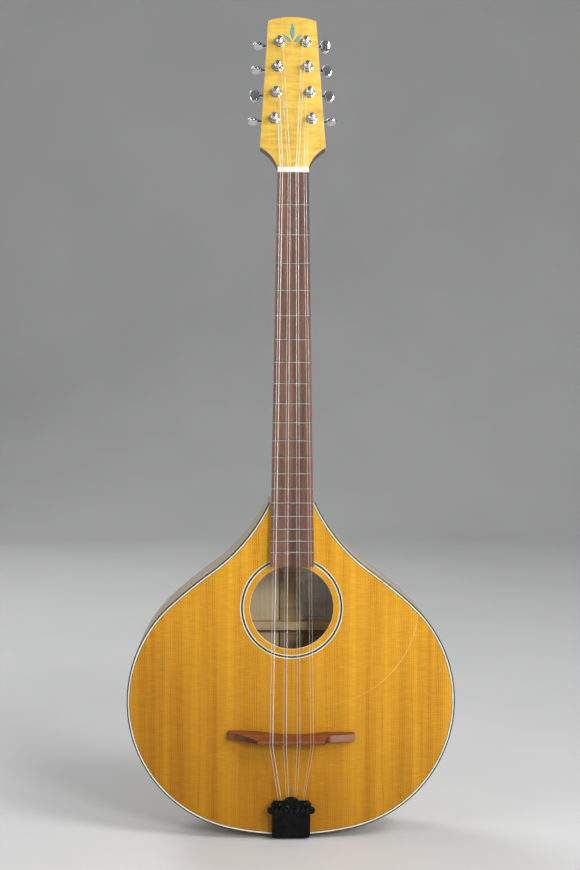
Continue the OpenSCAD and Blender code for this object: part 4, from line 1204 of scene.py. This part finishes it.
def helix(start, end, radius, turns):
    """A coil from start to end, 16 points a turn at radius round the straight line."""
    start, end = np.asarray(start, float), np.asarray(end, float)
    t = np.linspace(0, 1, int(turns * 16))[:, None]
    way = (end - start) / np.linalg.norm(end - start)
    a = np.cross((0, 1, 0), way)
    a /= np.linalg.norm(a)
    b = np.cross(way, a)
    spin = 2 * math.pi * turns * t
    return start + t * (end - start) + radius * (a * np.cos(spin) + b * np.sin(spin))


def string_route(i):
    """Round the hook, over the bridge and the nut, to the side of the post's coil."""
    r = string_r[i]
    hook = np.array([string_x(i, *tail_spread), top_y - hook_up, hook_z[i % 2]])
    loop = (hook_r + r + 0.05) * heading(np.arange(150, 431, 14))
    bridge_x, nut_x = string_x(i, *bridge_spread), string_x(i, *nut_spread)
    aim = head_points(tuner_x[i] - tuner_side[i] * (drum_r + r), coil_at, tuner_v[i])
    rest = [hook + (loop[-1, 0] * 0.6, -0.8, 5),
            (bridge_x, top_y - string_h, bridge_z - level_half),
            (bridge_x, top_y - string_h, bridge_z + level_half),
            neck_points(nut_x, -nut_h, joint_s), neck_points(nut_x, -nut_h, joint_s + nut_t),
            aim]
    return np.concatenate([hook + np.stack([loop[:, 0], 0 * loop[:, 0], loop[:, 1]], axis=1),
                           rest])


def fillet(path, reach):
    """Rounds each bend: the corner becomes a curve (1-t)^2 a + 2t(1-t) p + t^2 b whose
    ends lie up to reach back from it."""
    out = [path[0]]
    for before, p, after in zip(path[:-2], path[1:-1], path[2:]):
        to_a, to_b = before - p, after - p
        la, lb = np.linalg.norm(to_a), np.linalg.norm(to_b)
        a, b = p + to_a / la * min(reach, la / 2.1), p + to_b / lb * min(reach, lb / 2.1)
        out += [(1 - t) ** 2 * a + 2 * t * (1 - t) * p + t * t * b
                for t in (0, 0.33, 0.67, 1)]
    return np.array(out + [path[-1]])


for course in range(4):
    plain, wound = [], []
    for i in (2 * course, 2 * course + 1):
        r = string_r[i]
        path = string_route(i)
        # The wire's end is twisted back round the first straight stretch past the loop.
        tail = path[-6] - path[-7]
        twist = helix(path[-7] + 0.35 * tail, path[-6] + 1.2 * tail, 1.9 * r, 9)
        (wound if i in (1, 3) else plain).append(tube(fillet(path, 1.2), r))
        plain.append(tube(twist, min(r, 0.24), 6))
    kept = [(plain, plain_steel)] + ([(wound, wound_steel)] if wound else [])
    for number, (tubes, material) in enumerate(kept):
        pair = shells(f"strings_{course + 1}" + ("_wound" if number else ""),
                      [(p, False, True, True) for p, _ in tubes], material, 60,
                      np.concatenate([g.reshape(-1, 3) for _, g in tubes]))
        finish_piece(pair, "plain_steel", f"string_course_{course + 1}")

# ---- Tuner bushings --------------------------------------------------------------
# Chrome washers with a raised collar, screwed down on the head's face round each post.


def tuner_points(i, points):
    """Points in tuner i's own frame, carried to the row frame: x outboard, y into the
    head from its core's face, z up the head."""
    return head_points(tuner_x[i] + tuner_side[i] * points[..., 0], points[..., 1],
                       tuner_v[i] + points[..., 2])


face = -veneer_t
washer = [(face + 1.0, 6.2), (face, 6.5), (face - 0.7, 6.5), (face - 1.05, 6.3),
          (face - 1.2, 5.9), (face - 1.2, 5.2), (face - 1.3, 4.95), (face - 2.2, 4.85),
          (face - 2.5, 4.6), (face - 2.6, 4.2), (face - 2.6, 3.4), (face - 2.2, 3.15),
          (face + 1.0, 3.12)]
bushings = shells("tuner_washers", [(tuner_points(i, turned(washer, 1, 64)), True, True,
                  False) for i in range(8)], chrome)
finish_piece(bushings, "chrome", "tuner_bushings")

# ---- Tuner posts -----------------------------------------------------------------
# Turned chrome posts that stand out of the head's face, each with a drum for the string,
# a narrow waist and a domed top. The string's turns are wound on and turn with them.

post = [(24, 0), (24, 2.6), (23.6, 3.0), (face - 4.0, 3.0), (face - 4.5, 3.5),
        (face - 5.0, drum_r), (face - 8.0, drum_r - 0.1), (face - 8.4, 2.6),
        (face - 8.8, 2.25), (face - 9.3, 2.2), (face - 9.8, 2.4), (face - 10.2, 2.85),
        (face - 10.8, 3.0), (face - 12.2, 3.0), (face - 12.7, 2.8), (face - 12.95, 2.3),
        (face - 13.0, 1.2), (face - 12.9, 0)]
for i in range(8):
    r = string_r[i]
    turns = 2.6 if r > 0.3 else 4.6
    t = np.linspace(0, 1, int(turns * 30))
    spin = math.pi - 2 * math.pi * turns * t
    wrap = drum_r + r - (drum_r - 2.0) * np.clip((t - 0.9) / 0.1, 0, 1) ** 2
    rise = np.minimum(turns * 2.1 * r, 2.6)
    coil = tuner_points(i, np.stack([wrap * np.cos(spin), coil_at - rise * t,
                                     -wrap * np.sin(spin)], axis=-1))
    turned_post = shells(f"post_{i + 1}", [(tuner_points(i, turned(post, 1, 56)), False, True,
                         False)], chrome)
    finish_piece(turned_post, "chrome", f"tuner_post_{i + 1}", body=f"tuner_post_{i + 1}")
    points, grain = tube(coil, r, 8)
    winding = shells(f"post_coil_{i + 1}", [(points, False, True, True)],
                     wound_steel if i in (1, 3) else plain_steel, 60, grain.reshape(-1, 3))
    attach(winding, f"tuner_post_{i + 1}")

# ---- Tuner housings --------------------------------------------------------------
# Closed cast housings behind the head, chrome plated: a rounded case with a boss round
# the worm shaft, a low cap over the gear and an ear for the fixing screw.


def rounded_box(low, high, radius, count=5):
    """A box with round edges: each point is a corner centre plus radius times the way
    out, over eight eighths of a sphere."""
    low, high = np.array(low, float), np.array(high, float)
    middle, reach = (low + high) / 2, (high - low) / 2 - radius
    quarter = np.linspace(0, math.pi / 2, count)
    lat = np.concatenate([quarter - math.pi / 2, quarter])
    lat_sign = np.repeat([-1, 1], count)
    lon = np.concatenate([quarter + k * math.pi / 2 for k in range(4)])
    x_sign = np.repeat([1, -1, -1, 1], count)
    y_sign = np.repeat([1, 1, -1, -1], count)
    way = np.stack(np.broadcast_arrays(np.cos(lat)[:, None] * np.cos(lon),
                                       np.cos(lat)[:, None] * np.sin(lon),
                                       np.sin(lat)[:, None]), axis=-1)
    sign = np.stack(np.broadcast_arrays(x_sign, y_sign, lat_sign[:, None]), axis=-1)
    return middle + sign * reach + radius * way


worm_at, ear_at = (0, 20, 7), (0, 0, -11)
case_front, ear_back = core_t + 0.02, 14.5
boss = [(7.6, 0), (7.6, 3.6), (8.2, 3.6), (8.5, 3.3), (8.5, 1.9), (8.3, 0)]
cap_profile = [(25.8, 0), (25.8, 5.6), (26.4, 5.4), (26.9, 4.6), (27.1, 3.0), (27.15, 0)]
ear = [(case_front, 0), (case_front, 3.2), (ear_back - 0.3, 3.2), (ear_back, 2.9),
       (ear_back, 0)]
parts = []
for i in range(8):
    for points in (
            rounded_box((-7.5, case_front, -7), (8.5, 26.5, 11), 2.2),
            turned(boss, 0, 40) + worm_at, turned(cap_profile, 1, 48),
            turned(ear, 1, 40) + ear_at,
            rounded_box((-3.2, case_front, -11), (3.2, ear_back, -5), 0.4, 3)):
        parts.append((tuner_points(i, points), False, True, False))
housings = shells("tuner_cases", parts, chrome)
finish_piece(housings, "chrome", "tuner_housings")

# ---- Tuner screws ----------------------------------------------------------------
# One small domed screw with a cross recess through the ear of each housing.

dome = screw_head(2.2, 1.1)
head = np.stack([dome[..., 0], ear_back + dome[..., 2], dome[..., 1]], axis=-1)
shank = turned([(4.8, 0), (5.6, 1.1), (ear_back + 0.1, 1.1)], 1, 24)
parts = []
for i in range(8):
    parts += [(tuner_points(i, head + ear_at), False, True, True),
              (tuner_points(i, shank + ear_at), False, True, False)]
fixings = shells("tuner_fixings", parts, chrome)
finish_piece(fixings, "chrome", "tuner_screws")

# ---- Tuner buttons ---------------------------------------------------------------
# Oval chrome buttons pressed on the worm shafts, each with a ribbed collar against its
# housing. Turning one turns its post by the worm's fifteen to one.

button_at, button_half = 24.4, (6.2, 2.7, 7.9)
# How far each button is turned about its shaft from flat on, in degrees.
button_turn = (90, 0, 90, 90, 20, 0, 0, 90)
shaft_profile = [(8.8, 0), (8.8, 2.7), (9.0, 3.0), (9.4, 3.0), (9.6, 2.7), (9.8, 3.0),
                 (10.2, 3.0), (10.35, 2.7), (10.4, 1.8), (15.6, 1.7), (17.2, 2.0),
                 (18.2, 2.7), (19.2, 3.0), (20.0, 2.4), (20.0, 0)]


def power(value, exponent):
    """Keeps the sign and raises the size to a power."""
    return np.sign(value) * np.abs(value) ** exponent


def oval(half):
    """A rounded oval: x = a cos(v)^p cos(t)^q, z = c cos(v)^p sin(t)^q and
    y = b sin(v)^p, with p 0.6 and q 0.92."""
    v = np.linspace(-math.pi / 2, math.pi / 2, 41)[:, None]
    t = np.linspace(0, 2 * math.pi, 72, endpoint=False)
    flat = power(np.cos(v), 0.6)
    return np.stack(np.broadcast_arrays(
        half[0] * flat * power(np.cos(t), 0.92), half[1] * power(np.sin(v), 0.6),
        half[2] * flat * power(np.sin(t), 0.92)), axis=-1)


blank = oval(button_half)
shaft = turned(shaft_profile, 0, 40) + worm_at
for i in range(8):
    a = math.radians(button_turn[i])
    body = np.stack([button_at + blank[..., 0],
                     blank[..., 1] * math.cos(a) - blank[..., 2] * math.sin(a),
                     blank[..., 1] * math.sin(a) + blank[..., 2] * math.cos(a)],
                    axis=-1) + worm_at
    key = shells(f"button_{i + 1}", [(tuner_points(i, body), False, True, False),
                 (tuner_points(i, shaft), False, True, False)], chrome, 50)
    finish_piece(key, "chrome", f"tuner_button_{i + 1}", body=f"tuner_button_{i + 1}")
